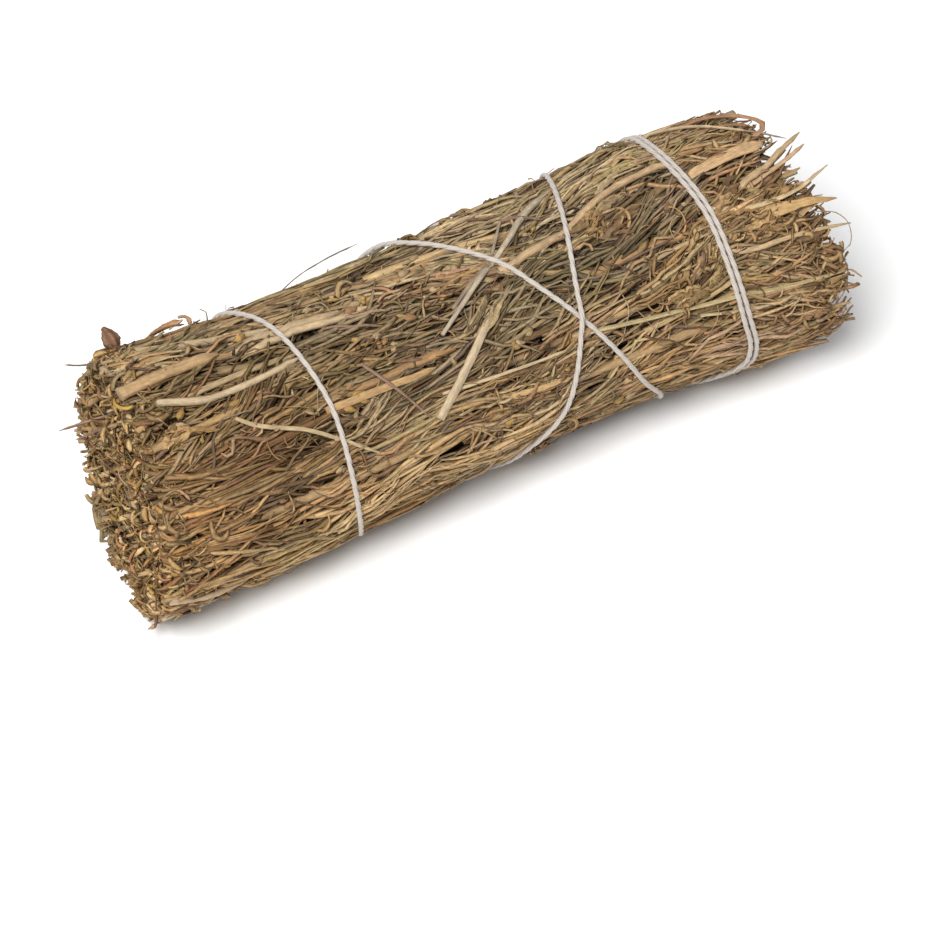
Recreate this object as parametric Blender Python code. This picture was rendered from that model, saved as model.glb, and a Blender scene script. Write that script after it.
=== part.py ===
"""Smudge stick: a bundle of dried leafy sprigs bound with one length of cotton string.

Metres, +Z up. X runs along the bundle, from the cut stem ends to the splayed tips, and the
origin is at the bottom centre of its box, on the surface it lies on. Places on the bundle are given as a
station (mm from the cut end, along X) and an azimuth (degrees around the bundle: 0 faces -Y,
90 faces up, -90 faces the surface it lies on).

Every sprig and bare stem is a loft. Its section at each station is its own cell of the packed
bundle: rays from its centreline run out to the plane it shares with each neighbour, to the
outside of the bundle, or to the surface below, whichever comes first.
"""

import math
import random

import bpy
import numpy as np

MM = 0.001
SEED = 7

# The bundle, in millimetres and degrees.
LENGTH = 120.0
AXIS_HEIGHT = 20.0
AXIS_SETBACK = -1.0
PACKED_RADIUS = 20.5
PROFILE_STATIONS = (-8.0, 0.0, 15.0, 30.0, 60.0, 80.0, 96.0, 110.0, 126.0)
PROFILE_RADII = (21.9, 21.7, 21.2, 20.4, 19.9, 20.0, 21.1, 21.0, 21.9)
SAG_STATIONS = (-8.0, 0.0, 21.0, 33.0, 59.0, 80.0, 95.0, 104.0, 112.0, 126.0)
SAG_OFFSETS = (0.5, 0.6, 1.4, 1.2, 0.2, -0.6, -0.9, 0.0, 0.4, 1.0)
SAG_AZIMUTH = -39.5
GAP = 0.42
FAR = 1000.0
LEAST_SLOPE = 0.02

# The sprigs: (count, distance from the axis, packing radius, rays, azimuth of the first).
CORE_RING = (3, 3.9, 3.6, 6, 40.0)
MIDDLE_RING = (9, 10.2, 3.6, 7, 10.0)
OUTER_RING = (16, 16.4, 3.3, 7, 0.0)
STEM_COUNT = 10
STEM_DISTANCE = 17.95
STEM_RADIUS = 2.4
STEM_RAYS = 5
SPRIG_ROUNDING = 1.32
STEM_ROUNDING = 1.0
WANDER = 0.9
WANDER_RATES = (17.0, 29.0)
OWN_SWAY = (0.12, 0.3)
OWN_SWAY_WAVE = (38.0, 64.0)
CUT_END = -1.0
CUT_TILT = 0.2
CUT_END_SPREAD = 1.6
TIP_END_SPREAD = 3.2
TIP_CUTBACK = 5.0
TIP_CUTBACK_AZIMUTH = 150.0
TIP_TAPER_LENGTH = 7.0
TIP_TAPER = (0.4, 0.75)
LONGEST_SPAN = 18.0
INNER_RING_STATIONS = (30.0, 60.0, 90.0)
CUT_END_LEAN = 1.5
CUT_END_LEAN_AZIMUTH = -20.0

# The string.
STRING_RADIUS = 0.45
STRING_SINK = 0.15
STRING_CLEARANCE = 0.45
GROOVE_HALF_WIDTH = 2.5
STRING_STEP = 5.2
CHORD_SAG = 0.12
CLOSE_CROSSINGS = 2.6
CLOSEST_RINGS = 0.15
SHARED_SPAN = 0.45
FLOOR_CLEARANCE = 0.05

# The winding: (turning angle, station, lift). The angle grows by 360 at each turn.
WINDING = (
    (-165, 96.0, 0.7), (-151, 95.4, 0.7), (-140, 94.9, 0.1), (-112, 92.8, 0.0), (-80, 91.2, 0.0),
    (-45, 89.6, 0.0), (-28, 87.9, 0.0), (-5, 83.3, 0.0), (17, 79.4, 0.0), (45, 73.7, 0.0),
    (64, 69.4, 0.0), (81, 66.0, 0.0), (98, 61.6, 0.0), (118, 57.0, 0.2), (138, 53.3, 0.7),
    (160, 50.0, 0.2), (190, 46.8, 0.0), (237, 41.6, 0.0), (280, 37.2, 0.0), (324, 32.2, 0.0),
    (353, 30.3, 0.0), (380, 29.8, 0.0), (405, 30.0, 0.0), (434, 29.1, 0.0), (463, 27.5, 0.0),
    (487, 25.3, 0.0), (503, 24.4, 0.0), (520, 24.6, 0.0), (540, 27.0, 0.0), (587, 38.9, 0.2),
    (597, 41.6, 1.1), (607, 44.3, 0.2), (640, 52.6, 0.0), (672, 58.0, 0.0), (693, 61.6, 0.0),
    (712, 67.1, 0.0), (740, 71.2, 0.0), (756, 73.0, 0.3), (764, 73.8, 1.1), (772, 74.6, 0.3),
    (787, 76.1, 0.0), (805, 78.3, 0.0), (828, 81.1, 0.0), (853, 83.8, 0.0), (900, 88.0, 0.0),
    (932, 91.4, 0.0), (941, 92.9, 0.4), (949, 94.3, 1.1), (957, 95.2, 0.4), (980, 96.1, 0.0),
    (1040, 98.2, 0.0), (1048, 100.0, 0.0), (1054, 101.9, 0.0), (1062, 102.9, 0.0),
    (1075, 102.6, 0.0), (1090, 101.4, 0.0), (1120, 100.3, 0.0), (1146, 100.1, 0.0),
    (1174, 99.1, 0.0), (1188, 98.9, 0.0), (1207, 99.5, 0.0), (1225, 100.1, 0.0),
    (1290, 100.5, 0.0), (1350, 100.2, 0.0), (1400, 99.8, 0.0), (1408, 101.7, 0.0),
    (1414, 103.4, 0.0), (1422, 104.1, 0.0), (1435, 103.7, 0.0), (1450, 102.5, 0.0),
    (1480, 101.3, 0.0), (1506, 101.1, 0.0), (1534, 100.1, 0.0), (1548, 99.9, 0.0),
    (1567, 100.5, 0.0), (1585, 101.2, 0.1), (1595, 100.9, 0.7), (1603, 100.2, 1.25),
    (1611, 98.9, 1.1), (1618, 97.7, 0.8), (1635, 96.0, 0.7),
)

# The reef knot that joins the string's ends: (around, along, out) in mm from its middle.
KNOT_AZIMUTH = -165.0
KNOT_STATION = 96.0
KNOT_LIFT = 1.35
FIRST_END = (
    (8.8, -3.2, 0.9), (6.8, -2.8, 0.5), (4.6, -1.9, 0.2), (2.5, -0.65, 0.55), (1.1, -0.85, 0.0),
    (0.0, -1.4, -0.55), (-1.05, -2.1, 0.0), (-1.95, -1.5, 0.5), (-2.35, 0.0, 0.55),
    (-1.95, 1.5, 0.5), (-1.05, 2.1, 0.0), (0.0, 1.4, -0.55), (1.1, 0.85, 0.0),
    (2.5, 0.65, 0.55), (3.8, 0.3, 0.15),
)
LAST_END = (
    (-4.0, 1.0, -0.5), (-2.5, 0.65, -0.55), (-1.1, 0.85, 0.0), (0.0, 1.4, 0.55), (1.05, 2.1, 0.0),
    (1.95, 1.5, -0.5), (2.35, 0.0, -0.55), (1.95, -1.5, -0.5), (1.05, -2.1, 0.0),
    (0.0, -1.4, 0.55), (-1.1, -0.85, 0.0), (-2.5, -0.65, -0.55), (-4.4, -1.7, -0.5),
    (-6.8, -3.2, -0.5), (-8.8, -4.0, -0.6),
)
KNOT_STEP = 1.0

SPRIG_COLOURS = ((0.30, 0.235, 0.13), (0.36, 0.27, 0.14), (0.27, 0.235, 0.14), (0.33, 0.22, 0.12))
STEM_COLOURS = ((0.46, 0.33, 0.17), (0.40, 0.31, 0.16), (0.50, 0.37, 0.20))
STRING_COLOUR = (0.80, 0.76, 0.68)
LEAF_ROUGHNESS = 0.75
STRING_ROUGHNESS = 0.9


def smooth_through(positions, values, at):
    """Read a smooth curve through (position, value) pairs; positions grow."""
    positions = np.asarray(positions, float)
    values = np.asarray(values, float)
    slopes = np.gradient(values, positions)
    steps = np.diff(values) / np.diff(positions)
    turning = np.concatenate(([False], steps[:-1] * steps[1:] <= 0.0, [False]))
    slopes[turning] = 0.0
    at = np.clip(np.asarray(at, float), positions[0], positions[-1])
    left = np.clip(np.searchsorted(positions, at, side="right") - 1, 0, len(positions) - 2)
    span = positions[left + 1] - positions[left]
    t = (at - positions[left]) / span
    rise = t * t * (3.0 - 2.0 * t)
    start_pull = t * (1.0 - t) ** 2 * span * slopes[left]
    end_pull = t * t * (1.0 - t) * span * slopes[left + 1]
    return values[left] * (1.0 - rise) + values[left + 1] * rise + start_pull - end_pull


def base_radius(station, azimuth):
    """Outside of the bundle, before the string presses into it."""
    radius = smooth_through(PROFILE_STATIONS, PROFILE_RADII, station)
    sag = smooth_through(SAG_STATIONS, SAG_OFFSETS, station)
    return radius + sag * np.cos(np.radians(azimuth - SAG_AZIMUTH))


def floor_radius(azimuth, height):
    """Distance from the axis to a plane at this height above the surface below."""
    drop = -math.sin(math.radians(azimuth))
    if drop <= LEAST_SLOPE:
        return FAR
    return (AXIS_HEIGHT - height) / drop


def string_radius(station, azimuth, lift):
    """Distance of the string's centreline from the bundle's axis."""
    lowest = STRING_RADIUS + FLOOR_CLEARANCE
    on_bundle = float(base_radius(station, azimuth)) - STRING_SINK + CHORD_SAG
    return min(on_bundle, floor_radius(azimuth, lowest + lift)) + lift


def point_at(station, azimuth, radius):
    """World position in metres of a place on the bundle."""
    angle = math.radians(azimuth)
    x = station - LENGTH / 2.0
    y = AXIS_SETBACK - radius * math.cos(angle)
    z = AXIS_HEIGHT + radius * math.sin(angle)
    return np.array((x, y, z)) * MM


def winding_crossings(azimuth):
    """Where the string crosses this azimuth, as (station, groove half width along the bundle)."""
    turning = [step[0] for step in WINDING]
    stations = [step[1] for step in WINDING]
    angle = azimuth - 360.0 * math.floor((azimuth - turning[0]) / 360.0)
    crossings = []
    while angle < turning[-1]:
        before, station, after = smooth_through(turning, stations, (angle - 1.0, angle, angle + 1.0))
        slope = (after - before) / (2.0 * math.radians(PACKED_RADIUS))
        crossings.append((float(station), GROOVE_HALF_WIDTH * math.hypot(1.0, slope)))
        angle += 360.0
    return sorted(crossings)


def outer_limit(station, azimuth):
    """Outside of the bundle with the grooves that the string presses into it."""
    limit = float(base_radius(station, azimuth))
    limit = min(limit, floor_radius(azimuth, 0.0))
    for crossing, half_width in winding_crossings(azimuth):
        reach = 1.0 - abs(station - crossing) / half_width
        if reach > 0.0:
            bed = string_radius(crossing, azimuth, 0.0) - STRING_RADIUS - STRING_CLEARANCE
            limit = min(limit, bed + (limit - bed) * (1.0 - reach))
    return limit


class Bundle:
    """The packed sprigs and bare stems: where each runs, how thick it is and where it ends."""

    def __init__(self, draw):
        rows = []
        for count, distance, radius, rays, first in (CORE_RING, MIDDLE_RING, OUTER_RING):
            for index in range(count):
                rows.append((f"sprig_{len(rows) + 1:02d}", first + 360.0 * index / count,
                             distance, radius, rays))
        pitch = 360.0 / OUTER_RING[0]
        seams = sorted(draw.sample(range(OUTER_RING[0]), STEM_COUNT))
        for index, seam in enumerate(seams):
            rows.append((f"stem_{index + 1:02d}", OUTER_RING[4] + (seam + 0.5) * pitch,
                         STEM_DISTANCE, STEM_RADIUS, STEM_RAYS))
        self.names = [row[0] for row in rows]
        self.azimuths = np.array([row[1] for row in rows])
        self.distances = np.array([row[2] for row in rows])
        self.radii = np.array([row[3] for row in rows])
        self.rays = [row[4] for row in rows]
        self.reaches = self.radii * np.where(self.radii > STEM_RADIUS, SPRIG_ROUNDING, STEM_ROUNDING)
        self.phases = np.array([draw.uniform(0.0, 2.0 * math.pi) for _ in rows])
        self.sways = np.array([draw.uniform(*OWN_SWAY) for _ in rows])
        self.waves = np.array([draw.uniform(*OWN_SWAY_WAVE) for _ in rows])
        self.tapers = [draw.uniform(*TIP_TAPER) for _ in rows]
        self.tilts = [[draw.uniform(-CUT_TILT, CUT_TILT) for _ in "yz"] for _ in rows]
        share = self.distances / PACKED_RADIUS
        lean = CUT_END_LEAN * np.cos(np.radians(self.azimuths - CUT_END_LEAN_AZIMUTH)) * share
        away = np.maximum(0.0, np.cos(np.radians(self.azimuths - TIP_CUTBACK_AZIMUTH)))
        self.starts = CUT_END - lean + [draw.uniform(-CUT_END_SPREAD, CUT_END_SPREAD) for _ in rows]
        self.ends = LENGTH - TIP_CUTBACK * away * share
        self.ends += [draw.uniform(-TIP_END_SPREAD, TIP_END_SPREAD) for _ in rows]

    def centres(self, station):
        """Centre (y, z) of every strand at a station; neighbours sway together."""
        turns = np.radians(self.azimuths)
        drift = WANDER * np.sin(station / WANDER_RATES[0] + 2.0 * turns)
        drift += WANDER * np.sin(station / WANDER_RATES[1] - turns)
        own = self.sways * np.sin(2.0 * math.pi * station / self.waves + self.phases)
        angles = turns + (drift + own) / PACKED_RADIUS
        swell = smooth_through(PROFILE_STATIONS, PROFILE_RADII, station) / PACKED_RADIUS
        sag = smooth_through(SAG_STATIONS, SAG_OFFSETS, station) * self.distances / PACKED_RADIUS
        distances = (self.distances + own) * swell
        y = -distances * np.cos(angles) - sag * math.cos(math.radians(SAG_AZIMUTH))
        z = AXIS_HEIGHT + distances * np.sin(angles) + sag * math.sin(math.radians(SAG_AZIMUTH))
        return np.stack((y, z), axis=1)

    def directions(self, index):
        """Unit (y, z) directions of a strand's rays; a flat between two of them faces outwards."""
        count = self.rays[index]
        outward = math.radians(self.azimuths[index])
        turns = outward + (np.arange(count) + 0.5) * 2.0 * math.pi / count
        return np.stack((-np.cos(turns), np.sin(turns)), axis=1)

    def edge_point(self, index, station, direction):
        """Where a ray from a strand's centre leaves its cell, as (y, z) at a station."""
        centres = self.centres(station)
        centre = centres[index]
        between = np.delete(centres, index, axis=0) - centre
        radii = np.delete(self.radii, index)
        spacing = np.hypot(between[:, 0], between[:, 1])
        facing = between @ direction / spacing
        walls = (spacing ** 2 + self.radii[index] ** 2 - radii ** 2) / (2.0 * spacing) - GAP / 2.0
        ahead = facing > LEAST_SLOPE
        length = min(self.reaches[index], float(np.min(walls[ahead] / facing[ahead])))
        from_axis = centre - np.array((0.0, AXIS_HEIGHT))
        along = float(from_axis @ direction)
        for _ in range(3):
            reach = from_axis + direction * length
            limit = outer_limit(station, azimuth_of(reach))
            if float(np.hypot(*reach)) > limit:
                inside = limit ** 2 - float(from_axis @ from_axis) + along ** 2
                length = -along + math.sqrt(max(inside, 0.0))
        point = centre + direction * length
        if point[1] < 0.0:
            point = centre - direction * centre[1] / direction[1]
            point[1] = 0.0
        return point


def azimuth_of(offset):
    """Azimuth of a (y, z) offset from the bundle's axis."""
    return math.degrees(math.atan2(offset[1], -offset[0]))


def crossing_gaps(crossings):
    """Distances between neighbouring crossings, with open ends."""
    return [FAR] + [after[0] - before[0] for before, after in zip(crossings, crossings[1:])] + [FAR]


def ring_plan(bundle, index):
    """Rings between a strand's ends, as (which string crossing, -1 before, 0 under, 1 after)."""
    crossings = winding_crossings(bundle.azimuths[index])
    if bundle.names[index].startswith("stem"):
        return [(order, 0) for order in range(len(crossings))]
    gaps = crossing_gaps(crossings)
    plan = []
    for order in range(len(crossings)):
        if gaps[order] > CLOSE_CROSSINGS:
            plan.append((order, -1))
        plan.append((order, 0))
        if gaps[order + 1] > CLOSE_CROSSINGS:
            plan.append((order, 1))
    return plan


def plan_stations(bundle, index, direction, plan):
    """Stations of the planned rings along one ray, kept in order."""
    axis = np.array((0.0, AXIS_HEIGHT))
    stations = []
    for order, side in plan:
        station = winding_crossings(bundle.azimuths[index])[order][0]
        for _ in range(3):
            edge = bundle.centres(station)[index] + direction * bundle.radii[index]
            crossings = winding_crossings(azimuth_of(edge - axis))
            gaps = crossing_gaps(crossings)
            gap = gaps[order + 1] if side > 0 else gaps[order]
            crossing, half_width = crossings[order]
            station = crossing + side * min(half_width, SHARED_SPAN * gap)
        if stations:
            station = max(station, stations[-1] + CLOSEST_RINGS)
        stations.append(station)
    return stations


def strand_rings(bundle, index):
    """World points (metres) of a strand's rings, from its cut end to its tip."""
    start = bundle.starts[index]
    end = bundle.ends[index]
    directions = bundle.directions(index)
    if bundle.distances[index] >= OUTER_RING[1]:
        plan = ring_plan(bundle, index)
        columns = [plan_stations(bundle, index, direction, plan) for direction in directions]
    else:
        columns = [list(INNER_RING_STATIONS) for _ in directions]
    table = np.array(columns).T
    table = np.vstack((np.full(len(directions), start), table))
    table = np.vstack((table, np.full(len(directions), end - TIP_TAPER_LENGTH)))
    table = np.vstack((table, np.full(len(directions), end)))
    filled = [table[0]]
    for row in table[1:]:
        if float(np.mean(row - filled[-1])) > LONGEST_SPAN:
            filled.append((row + filled[-1]) / 2.0)
        filled.append(row)
    rings = []
    for number, row in enumerate(filled):
        at_end = number in (0, len(filled) - 1)
        scale = bundle.tapers[index] if number == len(filled) - 1 else 1.0
        ring = []
        for station, direction in zip(row, directions):
            point = bundle.edge_point(index, station, direction)
            if scale < 1.0:
                centre = bundle.centres(station)[index]
                point = centre + (point - centre) * scale
            x = station
            if at_end:
                offset = point - bundle.centres(station)[index]
                x += float(np.dot(bundle.tilts[index], offset))
            ring.append((x - LENGTH / 2.0, AXIS_SETBACK + point[0], point[1]))
        rings.append(np.array(ring) * MM)
    return rings


def loft(name, rings, collection, material):
    """A closed solid through rings of matching points, with flat ends."""
    count = len(rings[0])
    points = [tuple(point) for ring in rings for point in ring]
    faces = [tuple(range(count)), tuple(len(points) - 1 - corner for corner in range(count))]
    for ring in range(len(rings) - 1):
        low = ring * count
        for corner in range(count):
            after = (corner + 1) % count
            faces.append((low + after, low + corner, low + count + corner, low + count + after))
    mesh = bpy.data.meshes.new(name)
    mesh.from_pydata(points, [], faces)
    mesh.materials.append(material)
    mesh.shade_smooth()
    mesh.set_sharp_from_angle(angle=math.radians(40.0))
    strand = bpy.data.objects.new(name, mesh)
    collection.objects.link(strand)
    return strand


def spread(points, step):
    """Points about one step apart along a smooth curve through hand-placed ones."""
    points = np.asarray(points, float)
    chords = np.linalg.norm(np.diff(points, axis=0), axis=1)
    travelled = np.concatenate(([0.0], np.cumsum(chords)))
    count = max(2, int(round(travelled[-1] / step)) + 1)
    at = np.linspace(0.0, travelled[-1], count)
    return np.stack([smooth_through(travelled, points[:, axis], at) for axis in range(3)], axis=1)


def knot_points(route):
    """World points in mm of one of the two ends that make the knot."""
    radius = string_radius(KNOT_STATION, KNOT_AZIMUTH, 0.0)
    points = []
    for around, along, out in route:
        azimuth = KNOT_AZIMUTH + math.degrees(around / radius)
        points.append(point_at(KNOT_STATION + along, azimuth, radius + KNOT_LIFT + out) / MM)
    return np.array(points)


def winding_points():
    """World points in mm of the string's turns round the bundle, finer where they are listed so."""
    turning = [step[0] for step in WINDING]
    stations = [step[1] for step in WINDING]
    lifts = [step[2] for step in WINDING]
    angles = []
    for before, after in zip(turning[1:-2], turning[2:-1]):
        pieces = max(1, math.ceil(math.radians(after - before) * PACKED_RADIUS / STRING_STEP))
        angles += [before + (after - before) * piece / pieces for piece in range(pieces)]
    points = []
    for angle in angles + [turning[-2]]:
        station = float(smooth_through(turning, stations, angle))
        lift = float(smooth_through(turning, lifts, angle))
        points.append(point_at(station, angle, string_radius(station, angle, lift)) / MM)
    return np.array(points)


def string_points():
    """World points in metres of the whole string, from one tail to the other."""
    turns = winding_points()
    first = spread(np.vstack((knot_points(FIRST_END), turns[:1])), KNOT_STEP)
    last = spread(np.vstack((turns[-1:], knot_points(LAST_END))), KNOT_STEP)
    return np.vstack((first[:-1], turns, last[1:])) * MM


def make_string(collection, material):
    """The binding string, one piece from tail to tail."""
    points = string_points()
    curve = bpy.data.curves.new("binding_string", "CURVE")
    curve.dimensions = "3D"
    curve.bevel_depth = STRING_RADIUS * MM
    curve.bevel_resolution = 2
    curve.use_fill_caps = True
    spline = curve.splines.new("POLY")
    spline.points.add(len(points) - 1)
    for place, point in zip(spline.points, points):
        place.co = (*point, 1.0)
    curve.materials.append(material)
    string = bpy.data.objects.new("binding_string", curve)
    collection.objects.link(string)
    return string


def make_material(name, colour, roughness):
    """A plain Principled material."""
    material = bpy.data.materials.new(name)
    material.use_nodes = True
    shader = material.node_tree.nodes["Principled BSDF"]
    shader.inputs["Base Color"].default_value = (*colour, 1.0)
    shader.inputs["Roughness"].default_value = roughness
    shader.inputs["Metallic"].default_value = 0.0
    material.diffuse_color = (*colour, 1.0)
    return material


def main():
    for leftover in list(bpy.data.objects):
        bpy.data.objects.remove(leftover)
    parts = bpy.data.collections.new("smudge_stick")
    bpy.context.scene.collection.children.link(parts)

    draw = random.Random(SEED)
    bundle = Bundle(draw)
    for index, name in enumerate(bundle.names):
        colours = SPRIG_COLOURS if name.startswith("sprig") else STEM_COLOURS
        material = make_material(name, draw.choice(colours), LEAF_ROUGHNESS)
        loft(name, strand_rings(bundle, index), parts, material)
    make_string(parts, make_material("binding_string", STRING_COLOUR, STRING_ROUGHNESS))


main()
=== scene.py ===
"""Looks of the smudge stick: dried leafy sprigs bound with cotton string.

Lengths are in millimetres and angles in degrees until a mesh is written, in metres. A place on the
bundle is a station (mm from the cut end, along X), an azimuth (degrees around the bundle: 0 faces
-Y, 90 faces up) and a depth (mm under the bundle's outside). A strand is a swept tube: every leaf,
stem, bud and fibre is one, and each piece is the mesh of all the strands that belong to it.

Widths and heights of strands are half sizes, and tones are sRGB shares. In the settings of a kind
of strand, a pair such as length=(2.0, 7.0) holds the limits between which each strand draws its
own value, and names with noise, turn, sway or bend hold how far values spread about 0.
"""

import math
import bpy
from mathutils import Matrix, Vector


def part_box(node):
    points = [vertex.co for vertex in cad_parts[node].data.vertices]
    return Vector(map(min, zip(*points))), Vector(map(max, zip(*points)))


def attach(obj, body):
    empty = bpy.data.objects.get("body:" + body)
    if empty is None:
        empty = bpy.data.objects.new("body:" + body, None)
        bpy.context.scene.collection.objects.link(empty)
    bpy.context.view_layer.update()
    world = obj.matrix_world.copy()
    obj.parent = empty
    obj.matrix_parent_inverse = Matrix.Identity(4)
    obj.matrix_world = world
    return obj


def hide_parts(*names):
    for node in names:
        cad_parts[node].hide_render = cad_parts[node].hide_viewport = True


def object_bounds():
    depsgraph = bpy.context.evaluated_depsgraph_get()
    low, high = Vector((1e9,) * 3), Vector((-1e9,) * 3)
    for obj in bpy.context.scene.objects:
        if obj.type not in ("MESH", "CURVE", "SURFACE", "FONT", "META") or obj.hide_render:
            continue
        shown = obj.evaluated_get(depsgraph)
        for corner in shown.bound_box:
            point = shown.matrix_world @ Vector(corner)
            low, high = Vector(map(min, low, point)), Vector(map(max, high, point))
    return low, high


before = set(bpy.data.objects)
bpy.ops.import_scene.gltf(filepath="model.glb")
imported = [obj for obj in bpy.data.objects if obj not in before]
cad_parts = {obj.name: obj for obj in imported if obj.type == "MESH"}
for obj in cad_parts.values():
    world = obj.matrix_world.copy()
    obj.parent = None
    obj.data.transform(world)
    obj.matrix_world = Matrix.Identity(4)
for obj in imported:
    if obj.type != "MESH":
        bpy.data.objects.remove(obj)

from types import SimpleNamespace

import bpy
import numpy as np
from mathutils import Vector, kdtree

CAD_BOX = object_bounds()
MM = 0.001
SEED = 11
FULL_TURN = 2.0 * math.pi
ALL_ROUND = (-180.0, 180.0)
TINY = 1e-9


# Shape of the bundle, as the CAD model has it.

LENGTH = 120.0
AXIS_HEIGHT = 20.0
AXIS_SETBACK = -1.0
PACKED_RADIUS = 20.5
PROFILE_STATIONS = (-8.0, 0.0, 15.0, 30.0, 60.0, 80.0, 96.0, 110.0, 126.0)
PROFILE_RADII = (21.9, 21.7, 21.2, 20.4, 19.9, 20.0, 21.1, 21.0, 21.9)
SAG_STATIONS = (-8.0, 0.0, 21.0, 33.0, 59.0, 80.0, 95.0, 104.0, 112.0, 126.0)
SAG_OFFSETS = (0.5, 0.6, 1.4, 1.2, 0.2, -0.6, -0.9, 0.0, 0.4, 1.0)
SAG_AZIMUTH = -39.5
LEAST_SLOPE = 0.02
FAR = 1000.0
# The tips' end is shorter on one side and has one notch; the cut end leans.
TIP_CUTBACK = 5.0
TIP_CUTBACK_AZIMUTH = 150.0
TIP_NOTCH = 6.0
TIP_NOTCH_AZIMUTH = 67.0
TIP_NOTCH_SPREAD = 7.0
CUT_END = -0.7
CUT_END_LEAN = 3.1
CUT_END_AZIMUTH = -45.0


def smooth_step(share):
    """A share that starts and ends level."""
    return share * share * (3.0 - 2.0 * share)


def smooth_through(positions, values, at):
    """Read a smooth curve through (position, value) pairs; positions grow."""
    positions = np.asarray(positions, float)
    values = np.asarray(values, float)
    slopes = np.gradient(values, positions)
    steps = np.diff(values) / np.diff(positions)
    turning = np.concatenate(([False], steps[:-1] * steps[1:] <= 0.0, [False]))
    slopes[turning] = 0.0
    at = np.clip(np.asarray(at, float), positions[0], positions[-1])
    left = np.clip(np.searchsorted(positions, at, side="right") - 1, 0, len(positions) - 2)
    span = positions[left + 1] - positions[left]
    share = (at - positions[left]) / span
    rise = smooth_step(share)
    start_pull = share * (1.0 - share) ** 2 * span * slopes[left]
    end_pull = share * share * (1.0 - share) * span * slopes[left + 1]
    return values[left] * (1.0 - rise) + values[left + 1] * rise + start_pull - end_pull


def even_points(points, count):
    """A given number of points evenly along a smooth curve through these."""
    travelled = distance_along(points)
    at = np.linspace(0.0, travelled[-1], count)
    return np.stack([smooth_through(travelled, points[:, axis], at) for axis in range(3)], axis=1)


def distance_along(points):
    """Distance from the first of these points to each of them, along them all."""
    return np.concatenate(([0.0], np.cumsum(np.linalg.norm(np.diff(points, axis=0), axis=1))))


def unit(vectors):
    """The same directions with a length of one."""
    return vectors / np.maximum(np.linalg.norm(vectors, axis=-1, keepdims=True), TINY)


def half_turn(azimuth):
    """The same azimuths, from -180 to 180."""
    return (azimuth + 180.0) % 360.0 - 180.0


def degrees_round(distance):
    """Distances around the bundle, in mm, as degrees."""
    return np.degrees(distance / PACKED_RADIUS)


def base_radius(station, azimuth):
    """Distance from the axis to the bundle's outside."""
    radius = smooth_through(PROFILE_STATIONS, PROFILE_RADII, station)
    sag = smooth_through(SAG_STATIONS, SAG_OFFSETS, station)
    return radius + sag * np.cos(np.radians(azimuth - SAG_AZIMUTH))


def floor_radius(azimuth, height):
    """Distance from the axis to a plane at this height above the floor."""
    drop = -np.sin(np.radians(azimuth))
    return np.where(drop > LEAST_SLOPE, (AXIS_HEIGHT - height) / np.maximum(drop, LEAST_SLOPE), FAR)


def tip_limit(azimuth):
    """Station of the tips' end."""
    away = np.maximum(0.0, np.cos(np.radians(azimuth - TIP_CUTBACK_AZIMUTH)))
    notch = np.exp(-((azimuth - TIP_NOTCH_AZIMUTH) / TIP_NOTCH_SPREAD) ** 2)
    return LENGTH - TIP_CUTBACK * away - TIP_NOTCH * notch


def cut_limit(azimuth, share=1.0):
    """Station of the cut end at a share of the bundle's radius."""
    return CUT_END - CUT_END_LEAN * share * np.cos(np.radians(azimuth - CUT_END_AZIMUTH))


def place(station, azimuth, radius):
    """World points in mm at this distance from the bundle's axis."""
    station, azimuth, radius = np.broadcast_arrays(station, azimuth, radius)
    angle = np.radians(azimuth)
    x = station - LENGTH / 2.0
    y = AXIS_SETBACK - radius * np.cos(angle)
    z = AXIS_HEIGHT + radius * np.sin(angle)
    return np.stack((x, y, z), axis=-1)


def under(station, azimuth, depth):
    """World points in mm at this depth under the bundle's outside."""
    return place(station, azimuth, base_radius(station, azimuth) - depth)


def polar(points):
    """Station, azimuth and distance from the axis of world points in mm."""
    y = points[..., 1] - AXIS_SETBACK
    z = points[..., 2] - AXIS_HEIGHT
    return points[..., 0] + LENGTH / 2.0, np.degrees(np.arctan2(z, -y)), np.hypot(y, z)


def outwards(points):
    """Unit directions from the bundle's axis to these points."""
    away = points - (0.0, AXIS_SETBACK, AXIS_HEIGHT)
    away[..., 0] = 0.0
    return unit(away)


# The string's route, as the CAD model has it.

STRING_RADIUS = 0.45
STRING_SINK = 0.15
CHORD_SAG = 0.12
FLOOR_CLEARANCE = 0.05
ROUTE_STEP = 0.5
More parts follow.
